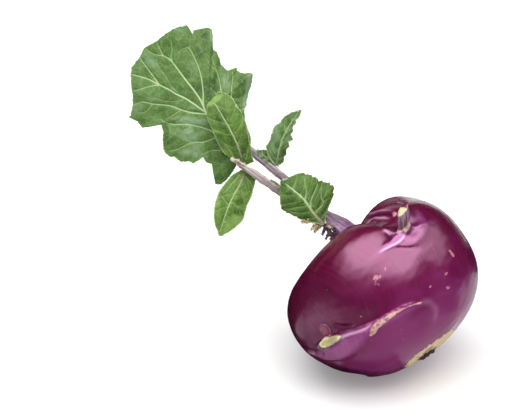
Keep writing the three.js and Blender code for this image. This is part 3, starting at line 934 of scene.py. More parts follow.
    def flat_about(self, azimuth: float, polar: float, w: Array) -> Array:
        """Sideways and crownward distances, in mm, of directions from a place on the skin."""
        at = self.heading(azimuth, polar)
        side = unit(self.heading(azimuth + 1, polar) - at)
        crownward = unit(self.heading(azimuth, polar - 1) - at)
        reach = self.stem_radius(at[None])[0] / np.maximum(w @ at, 0.2)
        return np.stack([w @ side * reach, w @ crownward * reach], axis=1)

    def channel(self, w: Array) -> Array:
        """Depth of the channel over the shoulder, from the crown's hollow to the front stub."""
        base = self.bases[self.front_stub]
        crown = self.axes[2]
        side = unit(np.cross(crown, self.heading(base.azimuth, base.polar)))
        run = np.arctan2(w @ np.cross(side, crown), w @ crown) / math.radians(base.polar)
        start_soft, end_soft = self.channel_softness
        fade = 1 + np.exp((run - self.channel_ends) / end_soft)
        fade = 1 / fade / (1 + np.exp((self.channel_starts - run) / start_soft))
        return self.channel_depth * bell(w @ side / self.channel_width) * fade

    def skin(self, w: Array) -> Array:
        """Points of the skin, in mm, in given directions."""
        radius = self.stem_radius(w) - self.channel(w)
        for s in self.swellings:
            angle = np.arccos(np.clip(w @ self.heading(s.azimuth, s.polar), -1, 1))
            radius += s.height * bell(angle / s.spread)
        from_crown = np.arccos(np.clip(w @ self.axes[2], -1, 1))
        radius -= self.hollow_depth * bell(from_crown / self.hollow_spread)
        for base in self.bases:
            radius += self.base_relief(base, w)
        return w * radius[:, None]

    def at(self, azimuth: float, polar: float) -> tuple[Array, Array, Array, Array]:
        """A place on the skin, with its sideways, outward and crownward directions."""

        def plain(a: float, p: float) -> Array:
            """A point of the plain stem."""
            w = self.heading(a, p)[None]
            return (w * self.stem_radius(w)[:, None])[0]

        place = self.skin(self.heading(azimuth, polar)[None])[0]
        side = unit(plain(azimuth + 1, polar) - plain(azimuth - 1, polar))
        up = plain(azimuth, polar - 1) - plain(azimuth, polar + 1)
        out = unit(np.cross(side, up))
        out = -out if out @ place < 0 else out
        return place, side, out, unit(up - side * (up @ side))

    def trace(self, places: Sequence[Pair], count: int = 60) -> Array:
        """Points of a line drawn on the skin through given azimuths and polar angles."""
        return self.skin(self.heading(*smooth_path(places, count).T))


@dataclass(frozen=True)
class SwollenStem:
    """The eaten part: skin, clasping ridges, cut stubs, buds and root end, grown into one."""

    form: StemForm
    fineness: float = 0.67  # mm between points of the finished skin
    smoothing: int = 3
    ridge_radius: float = 1.9
    ridge_sunk: float = 0.8
    ridge_end_sunk: float = 0.6  # more, at either end
    ridge_rings: int = 46
    stub_sunk: float = 4.0
    stub_rim: float = 0.8  # share of a stub's rows that is its side; the rest is its cut
    stub_dish: float = 0.5
    remnant_radius: float = 4.4
    remnant_sunk: float = 5.0
    remnant_length: float = 5.9
    remnant_rim: float = 0.85
    root_foot: Pair = (-128, 176.5)
    buds: tuple[Spot, ...] = (  # young buds in the angle above a cut stub
        Spot(-137, 96.5, 7.0, 4.8, 55, 1.3),
        Spot(-51.6, 61.8, 2.6, 1.9, 0, 1.2),
    )
    bruises: tuple[Spot, ...] = (  # healed scrapes and torn fibres
        Spot(-91.5, 92.5, 7.0, 4.6, 50), Spot(-84, 90, 2.6, 1.8, 20),
        Spot(-41.7, 102.4, 2.6, 4.8, 20), Spot(-54.6, 118.5, 3.0, 2.4, 0),
        Spot(-53, 111, 2.8, 1.8, 20), Spot(-67.4, 112.5, 2.4, 1.0, 20),
        Spot(-112.2, 103.5, 1.8, 1.6, 0), Spot(-8.5, 131, 6.0, 1.6, 35),
        Spot(150, 84, 5.0, 2.2, 30), Spot(20, 104, 3.4, 2.2, 70),
    )
    stains: tuple[Spot, ...] = (Spot(-90.5, 166, 6.0, 3.4, 10), Spot(40, 168, 5.0, 3.0, 40))
    cork_line: tuple[Pair, ...] = (  # a corky weathered crest
        (-114.3, 114.6), (-107.9, 112.4), (-101.9, 112.4), (-95.9, 112.7), (-90.6, 113.2),
        (-85, 114.3), (-81.4, 115.3), (-77.8, 116.7), (-73.6, 118.2),
    )
    # ribs and grooves, with painted highlights and painted shade along them
    folds: tuple[Fold, ...] = (
        # the channel over the shoulder, between the crown and the front stub
        Fold(((-60, 36), (-52.5, 41), (-54.8, 51.3), (-55.3, 57.8), (-55.2, 63)),
             0.8, 0.5, pale=0.75),
        Fold(((-13.5, 24.1), (-38, 34.4), (-43.5, 42), (-46, 48.3), (-47.4, 55.3),
              (-48, 60.9)), 0.8, 0.45, pale=0.6),
        Fold(((-30, 26), (-41.2, 29.3), (-48.8, 40.8), (-51.2, 50.3), (-51.9, 58.6)),
             1.1, -0.6, dark=0.6),
        Fold(((-60.8, 50), (-66.6, 63.7), (-63.5, 67), (-61, 69.8), (-59, 72.1)),
             1.8, -0.9, dark=0.8),
        # beside and below the front stub
        Fold(((-67.7, 68.3), (-68.5, 72.1), (-70.3, 76.3), (-72.7, 77.9), (-75.1, 79.1)),
             0.8, -0.5, dark=0.55),
        Fold(((-69.5, 67.5), (-67.5, 70.5), (-66.2, 74.6), (-64, 77)), 1.0, 0.4, pale=0.45),
        Fold(((-27.1, 51.9), (-32.4, 57.2), (-38, 63.1)), 0.7, 0.4, dark=1.0),
        Fold(((-61, 78.4), (-63.6, 80.1), (-66.6, 81.2), (-70.5, 81.4), (-74.1, 80.9),
              (-78.8, 80.4), (-82.9, 79.8)), 0.7, 0.5, pale=1.0),
        Fold(((-72.4, 82.7), (-70, 84.3), (-66.1, 86.8), (-61.3, 89.1)), 0.7, -0.35, dark=0.45),
        Fold(((-35, 60), (-39.6, 65.7), (-43.4, 70.2), (-48, 75.1), (-56.9, 80),
              (-64, 83.5)), 1.8, -0.8, dark=0.62),
        Fold(((-17.6, 48.8), (-30.6, 56.4), (-37.4, 64.1)), 0.8, -0.5, dark=0.7),
        # round the lower left stub
        Fold(((-129.8, 104.1), (-123.4, 106.1), (-117, 108.6), (-110.6, 111.1)),
             0.9, 0.7, pale=0.75),
        Fold(((-128.9, 94.7), (-127.8, 98.7), (-124.4, 102.4), (-118.5, 105)), 1.7, -0.7, dark=0.5),
        Fold(((-167, 93), (-160.9, 95.5), (-156.8, 98.6), (-152.5, 101.2)), 1.0, -0.8, dark=0.6),
        Fold(((-165, 97), (-160, 99.5), (-155, 102)), 1.0, 0.4, pale=0.35),
        Fold(((-79.8, 116.3), (-73.6, 118.2), (-69.4, 123.2), (-68.8, 127.6),
              (-70.9, 131.4), (-74.8, 136)), 1.7, 0.3, pale=0.12),
        # the same on the sides that face away
        Fold(((112, 58), (122, 63), (134, 64.5), (147, 63)), 1.5, -0.7, dark=0.5),
        Fold(((60, 92), (72, 95), (86, 95.5), (100, 93)), 1.4, -0.6, dark=0.5),
        Fold(((112, 129), (124, 132), (138, 132), (152, 130)), 1.4, -0.6, dark=0.45),
        Fold(((18, 119), (28, 122), (42, 122), (56, 120)), 1.4, -0.6, dark=0.45),
    )

    def clasp(self, base: LeafBase) -> BMesh:
        """The ridge of a leaf base: a tapering cord laid in the skin from arm to arm."""
        stations = np.linspace(-1, 1, 9)
        out = np.abs(stations)
        (left, left_drop), (right, right_drop) = base.arms
        w = self.form.heading(
            base.azimuth + np.where(stations < 0, left, right) * out,
            base.polar + np.where(stations < 0, left_drop, right_drop) * out**self.form.ridge_curve,
        )
        sunk = self.ridge_sunk + self.ridge_end_sunk * out**3
        axis = smooth_path(self.form.skin(w) - w * sunk[:, None], self.ridge_rings)
        shares = (0.36, 0.7, 0.88, 1, 1, 1, 0.88, 0.7, 0.36)
        radii = self.ridge_radius * along(shares, np.linspace(0, 1, self.ridge_rings))
        return tube(axis, radii, sides=20)

    def stub_axes(self, base: LeafBase) -> tuple[Array, Array, Array, Array]:
        """Foot, length, width and thickness directions of a base's stub."""
        foot, side, out, up = self.form.at(base.azimuth, base.polar)
        lean = unit(out + up * base.tilt + side * base.turn)
        thick = unit(np.cross(side, lean))
        turn = Matrix.Rotation(math.radians(base.twist), 3, Vector(lean))
        thick = np.array(turn @ Vector(thick))
        return foot, lean, np.cross(lean, thick), thick

    def cut_slope(self, base: LeafBase) -> Array:
        """Fall of a stub's cut, in mm along the stub, per mm away from its axis."""
        _, lean, _, _ = self.stub_axes(base)
        _, _, _, up = self.form.at(base.azimuth, base.polar)
        facing = unit(lean + 0.5 * up if base.cut_faces is None else base.cut_faces)
        return facing / (facing @ lean) - lean

    def cut_height(self, base: LeafBase, points: Array) -> tuple[Array, Array]:
        """How far points stand above a stub's slanting cut, and how far out from its middle."""
        foot, lean, wide, thick = self.stub_axes(base)
        off = points - foot
        x, z = off @ wide * 2 / base.width, off @ thick * 2 / base.thick
        return off @ lean + off @ self.cut_slope(base) - base.length, np.hypot(x, z)

    def stub(self, base: LeafBase) -> BMesh:
        """What is left of a cut leaf stalk: a flared oval stalk with a slanting, dished cut."""
        foot, lean, wide, thick = self.stub_axes(base)
        slope = self.cut_slope(base)

        def place(u: Array, v: Array) -> Array:
            """The stub's surface, from its foot over the rim to the middle of the cut."""
            t, shrink = self.over_rim(v, self.stub_rim)
            flare = 1 + base.flare * along((1.0, 0.56, 0.19, 0.03, 0), t)
            lobes = 1 + 0.035 * np.cos(6 * math.pi * u + 0.7)
            x, z = np.sin(2 * math.pi * u), np.cos(2 * math.pi * u)
            across = wide * (base.width / 2) * x[:, None] + thick * (base.thick / 2) * z[:, None]
            across = across * (flare * lobes * shrink)[:, None]
            dish = -self.stub_dish * (1 - shrink) ** 0.7
            rise = -self.stub_sunk + t * (self.stub_sunk + base.length)
            return foot + lean * (rise - t * (across @ slope) + dish)[:, None] + across

        return mapped_grid(44, 22, place, closed=True)

    def over_rim(self, v: Array, rim: float) -> tuple[Array, Array]:
        """How far up the side of a cut end v is, and, past its rim, how far out on the cut."""
        return np.clip(v / rim, 0, 1), np.where(v > rim, 1 - (v - rim) / (1 - rim), 1)

    def root_remnant(self) -> BMesh:
        """The cut foot of the root, standing out of the woody root end."""
        place, side, out, up = self.form.at(*self.root_foot)

        def surface(u: Array, v: Array) -> Array:
            """The remnant's surface, from inside the stem to the middle of its cut."""
            t, shrink = self.over_rim(v, self.remnant_rim)
            torn = 1 + 0.1 * np.sin(10 * math.pi * u) + 0.06 * np.sin(26 * math.pi * u + 1)
            radius = self.remnant_radius * (1.5 - 0.5 * np.minimum(1, 1.5 * t)) * torn * shrink
            x, z = np.sin(2 * math.pi * u) * radius, np.cos(2 * math.pi * u) * radius * 0.8
            rise = -self.remnant_sunk + t * (self.remnant_length + 0.4 * np.sin(6 * math.pi * u))
            return place + out * rise[:, None] + side * x[:, None] + up * z[:, None]

        return mapped_grid(40, 14, surface, closed=True)

    def body(self) -> BMesh:
        """The skin without its ridges and stubs, from a ball of even triangles."""
        bm = bmesh.new()
        bmesh.ops.create_icosphere(bm, subdivisions=7, radius=1)
        w = unit(np.array([v.co for v in bm.verts]))
        for vert, place in zip(bm.verts, self.form.skin(w)):
            vert.co = place
        return bm

    def spot_share(self, spot: Spot, w: Array) -> Array:
        """How strongly a small mark shows, from 0 outside it to 1 in its middle."""
        flat = self.form.flat_about(spot.azimuth, spot.polar, w)
        x, y = turned(*flat.T, spot.turn)
        facing = w @ self.form.heading(spot.azimuth, spot.polar) > 0.6
        far = np.hypot(x * 2 / spot.length, y * 2 / spot.width)
        return np.where(facing, step(1.25, 0.75, far), 0)

    def relief(self, mesh: Mesh) -> None:
        """Adds what is finer than the ridges: buds, uneven growth and the rough root end."""
        points = coordinates(mesh)
        out = normals(mesh)
        w = unit(points)
        _, polar = self.form.angles(w)
        height = 0.10 * waves(points, 17, 3) + 0.035 * waves(points, 5.5, 4)
        height += 0.16 * step(156, 166, polar) * waves(points, 2.6, 5)
        for bud in self.buds:
            height += bud.height * self.spot_share(bud, w)
        laid = self.form.skin(w)
        distance, run = near_line(laid, self.form.trace(self.cork_line), 6)
        crest = bell(distance / 1.3) * step(0, 0.12, run) * step(1, 0.7, run)
        height += crest * (0.7 + 0.2 * waves(points, 1.8, 6))
        for fold in self.folds:
            height += fold.height * self.fold_share(fold, laid, 1)
        raised = points + out * height[:, None]
        world = np.array(SLOPE)
        lifted = raised @ world[:3, :3].T + world[:3, 3]
        lifted[:, 2] = np.maximum(lifted[:, 2], 0)  # nothing reaches below the floor
        back = np.linalg.inv(world)
        move_vertices(mesh, lifted @ back[:3, :3].T + back[:3, 3])

    def fold_share(self, fold: Fold, laid: Array, spread: float) -> Array:
        """How strongly a fold shows at places on the skin, tapering towards its two ends."""
        distance, run = near_line(laid, self.form.trace(fold.places, 40), 4 * fold.width)
        taper = step(0, 0.22, run) * step(1, 0.72, run)
        return taper * bell(distance / (spread * fold.width))

    def dress_bases(self, mesh: Mesh, points: Array, above_skin: Array) -> Array:
        """Marks the old leaf bases: lilac wax, cuts with pale rims, and stubs.

        Args:
            mesh: the finished skin.
            points: its points.
            above_skin: how far each of them stands out of the plain skin, in mm.

        Returns:
            How torn and dry each point is.
        """
        w = unit(points)
        _, polar = self.form.angles(w)
        lilac, cut, rim, post, torn = (np.zeros(len(w)) for _ in range(5))
        for base in self.form.bases:
            share, above, down = self.form.round_base(base, w)
            ridge = np.exp(-(((above + 0.5) / 1.3) ** 2) - 1.4 * share**2) * (share < 1.6)
            if base.apron:
                apron = step(-0.8, 4.2, self.form.apron_depth(base, w))
                apron *= base.waxiness * step(52, 80, polar)
            else:
                apron = np.where(above < 0, step(1.25, 0.85, down), 0) * step(1.5, 0.9, share)
            lilac = np.maximum(lilac, np.maximum(apron, ridge))
            rise, out = self.cut_height(base, points)
            near = np.linalg.norm(points - self.stub_axes(base)[0], axis=1) < base.width + 4
            cut = np.maximum(cut, near * step(-0.75, -0.2, rise) * step(1.15, 0.97, out))
            edge = np.maximum(step(0.62, 0.92, out), base.fresh)
            rim = np.maximum(rim, near * step(-0.9, -0.2, rise) * edge)
            post = np.maximum(post, near * step(0.6, 2.2, above_skin) * step(1.6, 1.2, out))
            if base.flare < 0.5:
                torn = np.maximum(torn, near * step(0.9, 1.6, above_skin) * step(-6.2, -7.2, rise))
        mark(mesh, lilac=lilac, cut=cut, cut_rim=rim * cut, post=post)
        return torn

    def dress(self, mesh: Mesh) -> None:
        """Marks where the skin is lilac, cut, corky or woody, and where painted shade and
        highlights lie.
        """
        points = coordinates(mesh)
        w = unit(points)
        azimuth, polar = self.form.angles(w)
        laid = self.form.skin(w)
        above_skin = np.linalg.norm(points, axis=1) - np.linalg.norm(laid, axis=1)
        torn = self.dress_bases(mesh, points, above_skin)
        distance, run = near_line(laid, self.form.trace(self.cork_line), 8)
        width = 0.5 + 1.5 * step(0.7, 0, run) * step(-0.1, 0.1, run)
        cork = step(1.5, 0.5, distance / width) * step(1, 0.9, run)
        # painted shade: the colour is darkened on the stem's left side, round its middle
        shade = 0.5 * step(95, 175, np.abs(azimuth)) * step(20, 60, polar) * step(150, 110, polar)
        pale = np.zeros(len(w))
        # painted highlights along the pale ribs and painted shade along the grooves
        for fold in self.folds:
            share = self.fold_share(fold, laid, 0.9)
            pale, shade = np.maximum(pale, fold.pale * share), np.maximum(shade, fold.dark * share)
        bud, bruise, stain = (
            np.max([self.spot_share(spot, w) for spot in spots], axis=0)
            for spots in (self.buds, self.bruises, self.stains)
        )
        from_root = np.linalg.norm(points - self.form.at(*self.root_foot)[0], axis=1)
        slant = 2.5 * np.cos(np.radians(azimuth + 40))  # the woody end lies a little askew
        round_mm = np.radians(azimuth) * np.sin(np.radians(polar)) * 45
        mark(
            mesh, cork=np.maximum(cork, 0.95 * torn), bud=bud, bruise=bruise, stain=stain,
            remnant=step(6.2, 4.4, from_root), shade=shade, pale=pale,
            rootward=(polar + slant * step(140, 156, polar)) / 180,
            grain=np.column_stack([round_mm, polar * 0.72, np.zeros(len(w))]),
        )

    def build(self, skin: Material) -> Object:
        """Builds the stem.

        Args:
            skin: its finish.

        Returns:
            The finished piece.
        """
        parts = [self.body(), self.root_remnant()]
        for base in self.form.bases:
            parts += [self.clasp(base), self.stub(base)]
        mesh = fused(joined(parts, "kohlrabi_stem"), self.fineness, self.smoothing)
        self.relief(mesh)
        self.dress(mesh)
        return stand(mesh, "kohlrabi_stem", Slot.SKIN, [skin], ["bulb"])


# ---- the leaves ----


@dataclass(frozen=True)
class HeartBud:
    """The growing point in the crown's hollow: three tiny leaves, folded round each other."""

    form: StemForm
    leaves: tuple[Triple, ...] = (  # length in mm, spread, turn
        (5.5, 0.1, 0.0), (4.6, 0.3, 120.0), (3.8, 0.4, 240.0),
    )
    foot: Pair = (60, 6)  # azimuth and polar angle
    sunk: float = 2.0
    sides: int = 28
    rings: int = 44

    def leaf(self, length: float, spread: float, turn: float) -> BMesh:
        """One tiny leaf, folded lengthwise, that leans sideways by its spread."""
        at, _, out, _ = self.form.at(*self.foot)
        around = Matrix.Rotation(math.radians(turn), 3, Vector(out))
        sideways = np.array(around @ Vector(self.form.axes[0]))
        middle = at + out * length * 0.5 + sideways * 0.9
        tip = at + out * length + sideways * spread * length
        path = smooth_path([at - out * self.sunk, middle, tip], self.rings)
        radii = along((0.9, 1.2, 1.3, 1, 0.3), np.linspace(0, 1, self.rings))
        return tube(path, radii, self.sides, squash=0.7, groove=0.3, fluting=0.04)

    def build(self, finish: Material) -> Object:
        """Builds the bud.

        Args:
            finish: its finish.

        Returns:
            The finished piece.
        """
        mesh = joined([self.leaf(*leaf) for leaf in self.leaves], "heart_bud_leaves")
        points = coordinates(mesh)
        height = 0.07 * waves(points, 1.4, 31)
        move_vertices(mesh, points + normals(mesh) * height[:, None])
        none = np.zeros(len(points))
        mark(mesh, vein_side=none + 9, vein_near=none + 9, vein_half=none, midrib=none,
             rim=none + 3, leaf=points)
        return stand(mesh, "heart_bud_leaves", Slot.BLADE, [finish], ["heart_bud"])


@dataclass(frozen=True)
class Vein:
    """A vein, drawn on the flattened blade in mm, with its width at either end."""

    points: tuple[Pair, ...]
    start: float
    end: float


@dataclass(frozen=True)
class PaintedLightPatch:
    """Painted light and shade on a blade: a part painted darker, as shade (below 0), or paler, as
    light (above 0).

    It is centred at a place in the plant's own x and y, reaches so many mm along and across, and is
    turned by so many degrees.
    """

    x: float
    y: float
    along: float
    across: float
    turn: float
    tone: float

    def share(self, places: Array) -> Array:
        """How much it lightens or darkens each place, falling off softly at its edge."""
        x, y = turned(places[:, 0] - self.x, places[:, 1] - self.y, self.turn)
        return self.tone * np.exp(-(np.hypot(x / self.along, y / self.across) ** 3))


@dataclass(frozen=True)
class Stalk:
    """A leaf stalk: points of its axis, base to tip, and its radii at even steps, in mm."""

    name: str
    replaced: tuple[str, ...]
    points: tuple[Triple, ...]
    radii: tuple[float, ...]
    groove: float
    rings: int
    broken: float = 0.0  # share of the length, at the tip, that is frayed and dried
    sides: int = 36

    def build(self, form: StemForm, finish: Material) -> Object:
        """Builds the stalk.

        Args:
            form: the stem that it grows from.
            finish: its finish.

        Returns:
            The finished piece.
        """
        path = smooth_path(self.points, self.rings)
        run = np.linspace(0, 1, self.rings)
        bumps = 1 + 0.03 * waves(path, 9, 21) + 0.02 * waves(path, 4, 22)
        ends = np.sqrt(step(0, 0.012, 1.004 - run)) * np.sqrt(step(-0.01, 0.004, run))
        radii = along(self.radii, run) * bumps * np.maximum(ends, 0.15)
        mesh = as_mesh(tube(path, radii, self.sides, 1.0, self.groove, 0.02), self.name)
        turn, run = grid_places(mesh)
        length = np.linalg.norm(np.diff(path, axis=0), axis=1).sum()
        points = coordinates(mesh)
        broken = step(1.02 - self.broken, 1.0 - 0.5 * self.broken, run) * (self.broken > 0)
        height = 0.09 * waves(points, 3.0, 23) + 0.04 * waves(points, 1.3, 24)
        height += broken * (0.3 * waves(points, 2.6, 25) + 0.2 * waves(points, 1.1, 26))
        move_vertices(mesh, points + normals(mesh) * height[:, None])
        clearance = np.linalg.norm(points, axis=1) - np.linalg.norm(form.skin(unit(points)), axis=1)
        turn = 2 * math.pi * turn
        mark(mesh, broken=broken, run=run, foot=step(20, 2, clearance),
             grain=np.column_stack([np.sin(turn), np.cos(turn), run * length]))
        return stand(mesh, self.name, Slot.STALK, [finish], self.replaced)


@dataclass(frozen=True)
class Blade:
    """A leaf blade: a thin bent sheet with veins that stand out below and are sunk above."""

    name: str
    replaced: tuple[str, ...]
    veins: tuple[Vein, ...] = ()
    # painted light and shade laid on the blade
    patches: tuple[PaintedLightPatch, ...] = ()
    paleness: float = 0.0
    young: bool = False
    thickness: float = 0.55
    quilting: float = 0.32  # mm that the blade swells between its veins
    quilt_mm: float = 2.4  # how far from a vein it has fully swollen
    vein_sunk: float = 0.22
    crinkle: float = 0.16
    crinkle_mm: float = 5.5
    fine_crinkle_mm: float = 2.2
    seed: int = 1
    columns: int = 60
    rows: int = 110
    edge_mm: float = 0.35  # width of the pale rim
    web: float = 0.32  # share of the thickness that is left away from the veins

    def surface(self, u: Array, v: Array) -> Array:
        """The blade's middle surface."""
        raise NotImplementedError

    def flattened(self, u: Array, v: Array) -> Array:
        """The same places on the flattened blade, in mm."""
        raise NotImplementedError

    def margin(self, u: Array, v: Array) -> Array:
        """About how far each place is from the margin, in mm."""
        raise NotImplementedError

    def all_veins(self) -> tuple[Vein, ...]:
        """The blade's veins, midrib first."""
        return self.veins

    def nearest_vein(self, flat: Array) -> tuple[Array, Array, Array, Array]:
        """Finds the vein that each place belongs to.

        Args:
            flat: places on the flattened blade.

        Returns:
            The distance to that vein, its half-width there, the side of it that the place is on,
            and how near to the foot of the midrib the place is.
        """
        distance = np.full(len(flat), np.inf)
        half, side, main = np.full(len(flat), 0.1), np.ones(len(flat)), np.zeros(len(flat))
        for i, vein in enumerate(self.all_veins()):
            away, run, which = nearest_on_path(flat, smooth_path(vein.points, 30))
            width = vein.start + (vein.end - vein.start) * run
            closer = away - width < distance - half
            distance, side = np.where(closer, away, distance), np.where(closer, which, side)
            half = np.where(closer, width, half)
            main = np.where(closer, (1 - run) * (i == 0), main)
        return distance, half, side, main

    def thicken(self, piece: Object, distance: Array, half: Array) -> None:
        """Gives the sheet its thickness, thinner away from the veins.

        Args:
            piece: the sheet.
            distance: how far each point is from a vein, in mm.
            half: that vein's half-width.
        """
        rib = bell(distance / (half + 0.35)) * np.clip(half * 1.5, 0, 1)
        group = piece.vertex_groups.new(name="thick")
        for index, weight in enumerate(self.web + (1 - self.web) * rib):
            group.add([index], float(weight), "REPLACE")
        wall = piece.modifiers.new("thickness", "SOLIDIFY")
        wall.thickness = self.thickness * MM / self.web
        wall.offset = -1.0
        wall.vertex_group = "thick"
        wall.material_offset, wall.material_offset_rim = 1, 1

    def build(self, upper: Material, under: Material) -> Object:
        """Builds the blade.

        Args:
            upper: the finish of the face that looks to the front.
            under: the finish of the back and of the rim.

        Returns:
            The finished piece.
        """
        mesh = as_mesh(mapped_grid(self.columns, self.rows, self.surface), self.name)
        u, v = grid_places(mesh)
        out = normals(mesh)
        if out[:, 2].mean() < 0:
            mesh.flip_normals()
            out = normals(mesh)
        flat = self.flattened(u, v)
        near, half, side, main = self.nearest_vein(flat)
        rim = self.margin(u, v)
        swell = self.quilting * (1 - bell(near / self.quilt_mm)) * step(0, 3, rim)
        swell += self.crinkle * waves(flat, self.crinkle_mm, self.seed) * step(0, 4, near)
        swell += 0.35 * self.crinkle * waves(flat, self.fine_crinkle_mm, self.seed + 1)
        front = swell - self.vein_sunk * bell(near / (half + 0.25)) + self.thickness / 2
        points = coordinates(mesh)
        # the blade's own paleness, plus its painted light and shade
        tone = np.full(len(u), self.paleness)
        for patch in self.patches:
            tone += patch.share(points)
        move_vertices(mesh, points + out * front[:, None])
        mark(mesh, vein_side=near * side, vein_near=near, vein_half=half, midrib=main,
             rim=rim / self.edge_mm, tone=tone,
             leaf=np.column_stack([flat, np.full(len(u), 7.0 * self.seed)]))
        piece = stand(mesh, self.name, Slot.BLADE, [upper, under], self.replaced)
        self.thicken(piece, near, half)
        return piece


def notch(i: Array) -> Array:
    """An irregular toothing, between about -1 and 1, for places along a margin."""
    return 0.6 * np.sin(2.4 * i) + 0.45 * np.sin(4.1 * i + 1)


@dataclass(frozen=True)
class StrapBlade(Blade):
    """A blade on a midrib from base to tip.

    Left and right are half-widths at even stations, fold is how far each half turns back per mm of
    width, bow bends the midrib sideways and arch out of the slope, roll turns the tip back, wave
    ruffles the margin and teeth are a share of the half-width.
    """

    base: Triple = (0, 0, 0)
    tip: Triple = (0, 1, 0)
    left: tuple[float, ...] = (1, 1)
    right: tuple[float, ...] = (1, 1)
    fold: Pair = (0.0, 0.0)
    bow: float = 0.0
    arch: float = 0.0
    roll: float = 0.0
    wave: float = 0.6
    waves: float = 3.0
    phase: float = 0.0
    teeth: float = 0.05
    fine_teeth: float = 0.35
    toothed: float = 0.86  # share of the half-width where the teeth start
    stations: int = 14
    side_veins: int = 6
    midrib: Pair = (0.65, 0.16)
    side_vein: Pair = (0.26, 0.1)

    @property
    def length(self) -> float:
        """Distance from base to tip."""
        return float(np.linalg.norm(np.subtract(self.tip, self.base)))

    def width(self, u: Array, across: Array) -> Array:
        """The half-width at a share of the length, on the side that across is on."""
        plain = np.where(across < 0, along(self.left, u), along(self.right, u))
        at_margin = step(self.toothed, 1.0, np.abs(across))
        station = u * self.stations + np.where(across < 0, 7, 0)
        fine = self.fine_teeth * np.sin(9.7 * station)
        fine *= np.minimum(1, 0.25 / np.maximum(plain, 0.2))
        return plain * (1 + at_margin * (self.teeth * notch(station) + fine - 0.02))

    def surface(self, u: Array, v: Array) -> Array:
        """The blade's middle surface; u runs across it and v along it."""
        across = 2 * u - 1
        spine = np.subtract(self.tip, self.base)
        sideways = unit((spine[1], -spine[0], 0))
        outward = unit(np.cross(sideways, spine))
        width = self.width(v, across)
        turn = np.where(across < 0, *self.fold)
        swing = 2 * math.pi * (self.waves * v + self.phase) + np.where(across < 0, 0, 1.7)
        lift = (
            self.arch * np.sin(math.pi * v)
            - self.roll * np.maximum(0, (v - 0.7) / 0.3) ** 2
            - turn * np.abs(across) * width
            + self.wave * across**2 * np.sin(swing)
        )
        aside = self.bow * np.sin(math.pi * v) + across * width
        return (
            self.base + v[:, None] * spine + aside[:, None] * sideways + lift[:, None] * outward
        )

    def flattened(self, u: Array, v: Array) -> Array:
        """Distance across the midrib and along it."""
        across = 2 * u - 1
        return np.column_stack([across * self.width(v, across), v * self.length])

    def margin(self, u: Array, v: Array) -> Array:
        """Distance to the nearer side margin, or to the tip."""
        across = 2 * u - 1
        return np.minimum((1 - np.abs(across)) * self.width(v, across), (1 - v) * self.length)

    def lay_flat(self, place: Pair) -> Pair:
        """A place in the plant's own x and y, on the flattened blade."""
        spine = np.subtract(self.tip[:2], self.base[:2])
        span = float(np.linalg.norm(spine))
        away = np.subtract(place, self.base[:2])
        share = float(away @ spine) / span**2
        aside = float(away @ (spine[1], -spine[0])) / span
        return aside - self.bow * math.sin(math.pi * share), share * self.length

    def all_veins(self) -> tuple[Vein, ...]:
        """The blade's own veins and fine side veins that curve towards the tip."""
        made = [
            Vein(tuple(self.lay_flat(place) for place in vein.points), vein.start, vein.end)
            for vein in self.veins
        ] or [Vein(((0, -0.5), (0, self.length * 0.5), (0, self.length)), *self.midrib)]
        chance = np.random.default_rng(self.seed)
        for k, (side, widths) in product(
            range(self.side_veins), ((-1, self.left), (1, self.right))
        ):
            start = k + 0.35 + 0.3 * (side > 0) + chance.uniform(-0.1, 0.1)
            start /= self.side_veins + 0.8
            reach = side * float(along(widths, np.array([min(1, start + 0.14)]))[0]) * 0.93
            rise = self.length * chance.uniform(0.12, 0.2)
            steps = ((0, 0), (0.35, 0.3), (0.7, 0.68), (1, 1.15))
            path = tuple((reach * x, start * self.length + rise * y) for x, y in steps)
            made.append(Vein(path, *self.side_vein))
        return tuple(made)


@dataclass(frozen=True)
class FanBlade(Blade):
    """The broad blade, drawn round the point where its main veins meet.

    Its margin is given as angles in degrees and distances in mm.
    """

    centre: Triple = (-83, 82, 0.5)
    outline: tuple[Pair, ...] = ()
    dish: float = 1.6
    back_turn: float = 9.0
    ruffle: float = 1.2
    ruffles: int = 7
    teeth: float = 0.22
    tooth_degrees: float = 1.7
    midrib_angle: float = 152.0
    back_turn_angle: float = 48.0
    seam_angle: float = -40.0

    def reach(self, degrees: Array) -> Array:
        """Distance from the centre to the margin, without teeth."""
        angles, lengths = np.array(self.outline).T
        wrapped = (degrees - angles[0]) % 360 + angles[0]
        return np.interp(wrapped, [*angles, angles[0] + 360], [*lengths, lengths[0]])

    def placed(self, u: Array, v: Array) -> tuple[Array, Array]:
        """Angle, and distance from the centre with the margin's teeth."""
        degrees = u * 360 + self.seam_angle
        sector = degrees / self.tooth_degrees
        teeth = self.teeth * notch(sector) * (0.6 + 0.4 * np.sin(0.31 * sector))
        return np.radians(degrees), np.maximum(self.reach(degrees) * v + teeth * step(0.9, 1, v), 0)

    def flattened(self, u: Array, v: Array) -> Array:
        """The place in the leaf's own plane."""
        angle, reach = self.placed(u, v)
        return np.column_stack([reach * np.cos(angle), reach * np.sin(angle)])

    def surface(self, u: Array, v: Array) -> Array:
        """The blade's middle surface; u runs round it and v outwards."""
        angle, _ = self.placed(u, v)
        toward = np.maximum(0, np.cos(angle - math.radians(self.back_turn_angle)))
        lift = (
            self.dish * v**2 * np.cos(angle - math.radians(self.midrib_angle))
            - self.back_turn * (v * toward) ** 2
            + self.ruffle * v**3 * np.sin(self.ruffles * angle + 0.6)
        )
        return np.column_stack([self.flattened(u, v), lift]) + np.array(self.centre)

    def margin(self, u: Array, v: Array) -> Array:
        """Distance to the margin along the ray from the centre."""
        return (1 - v) * self.reach(u * 360 + self.seam_angle)


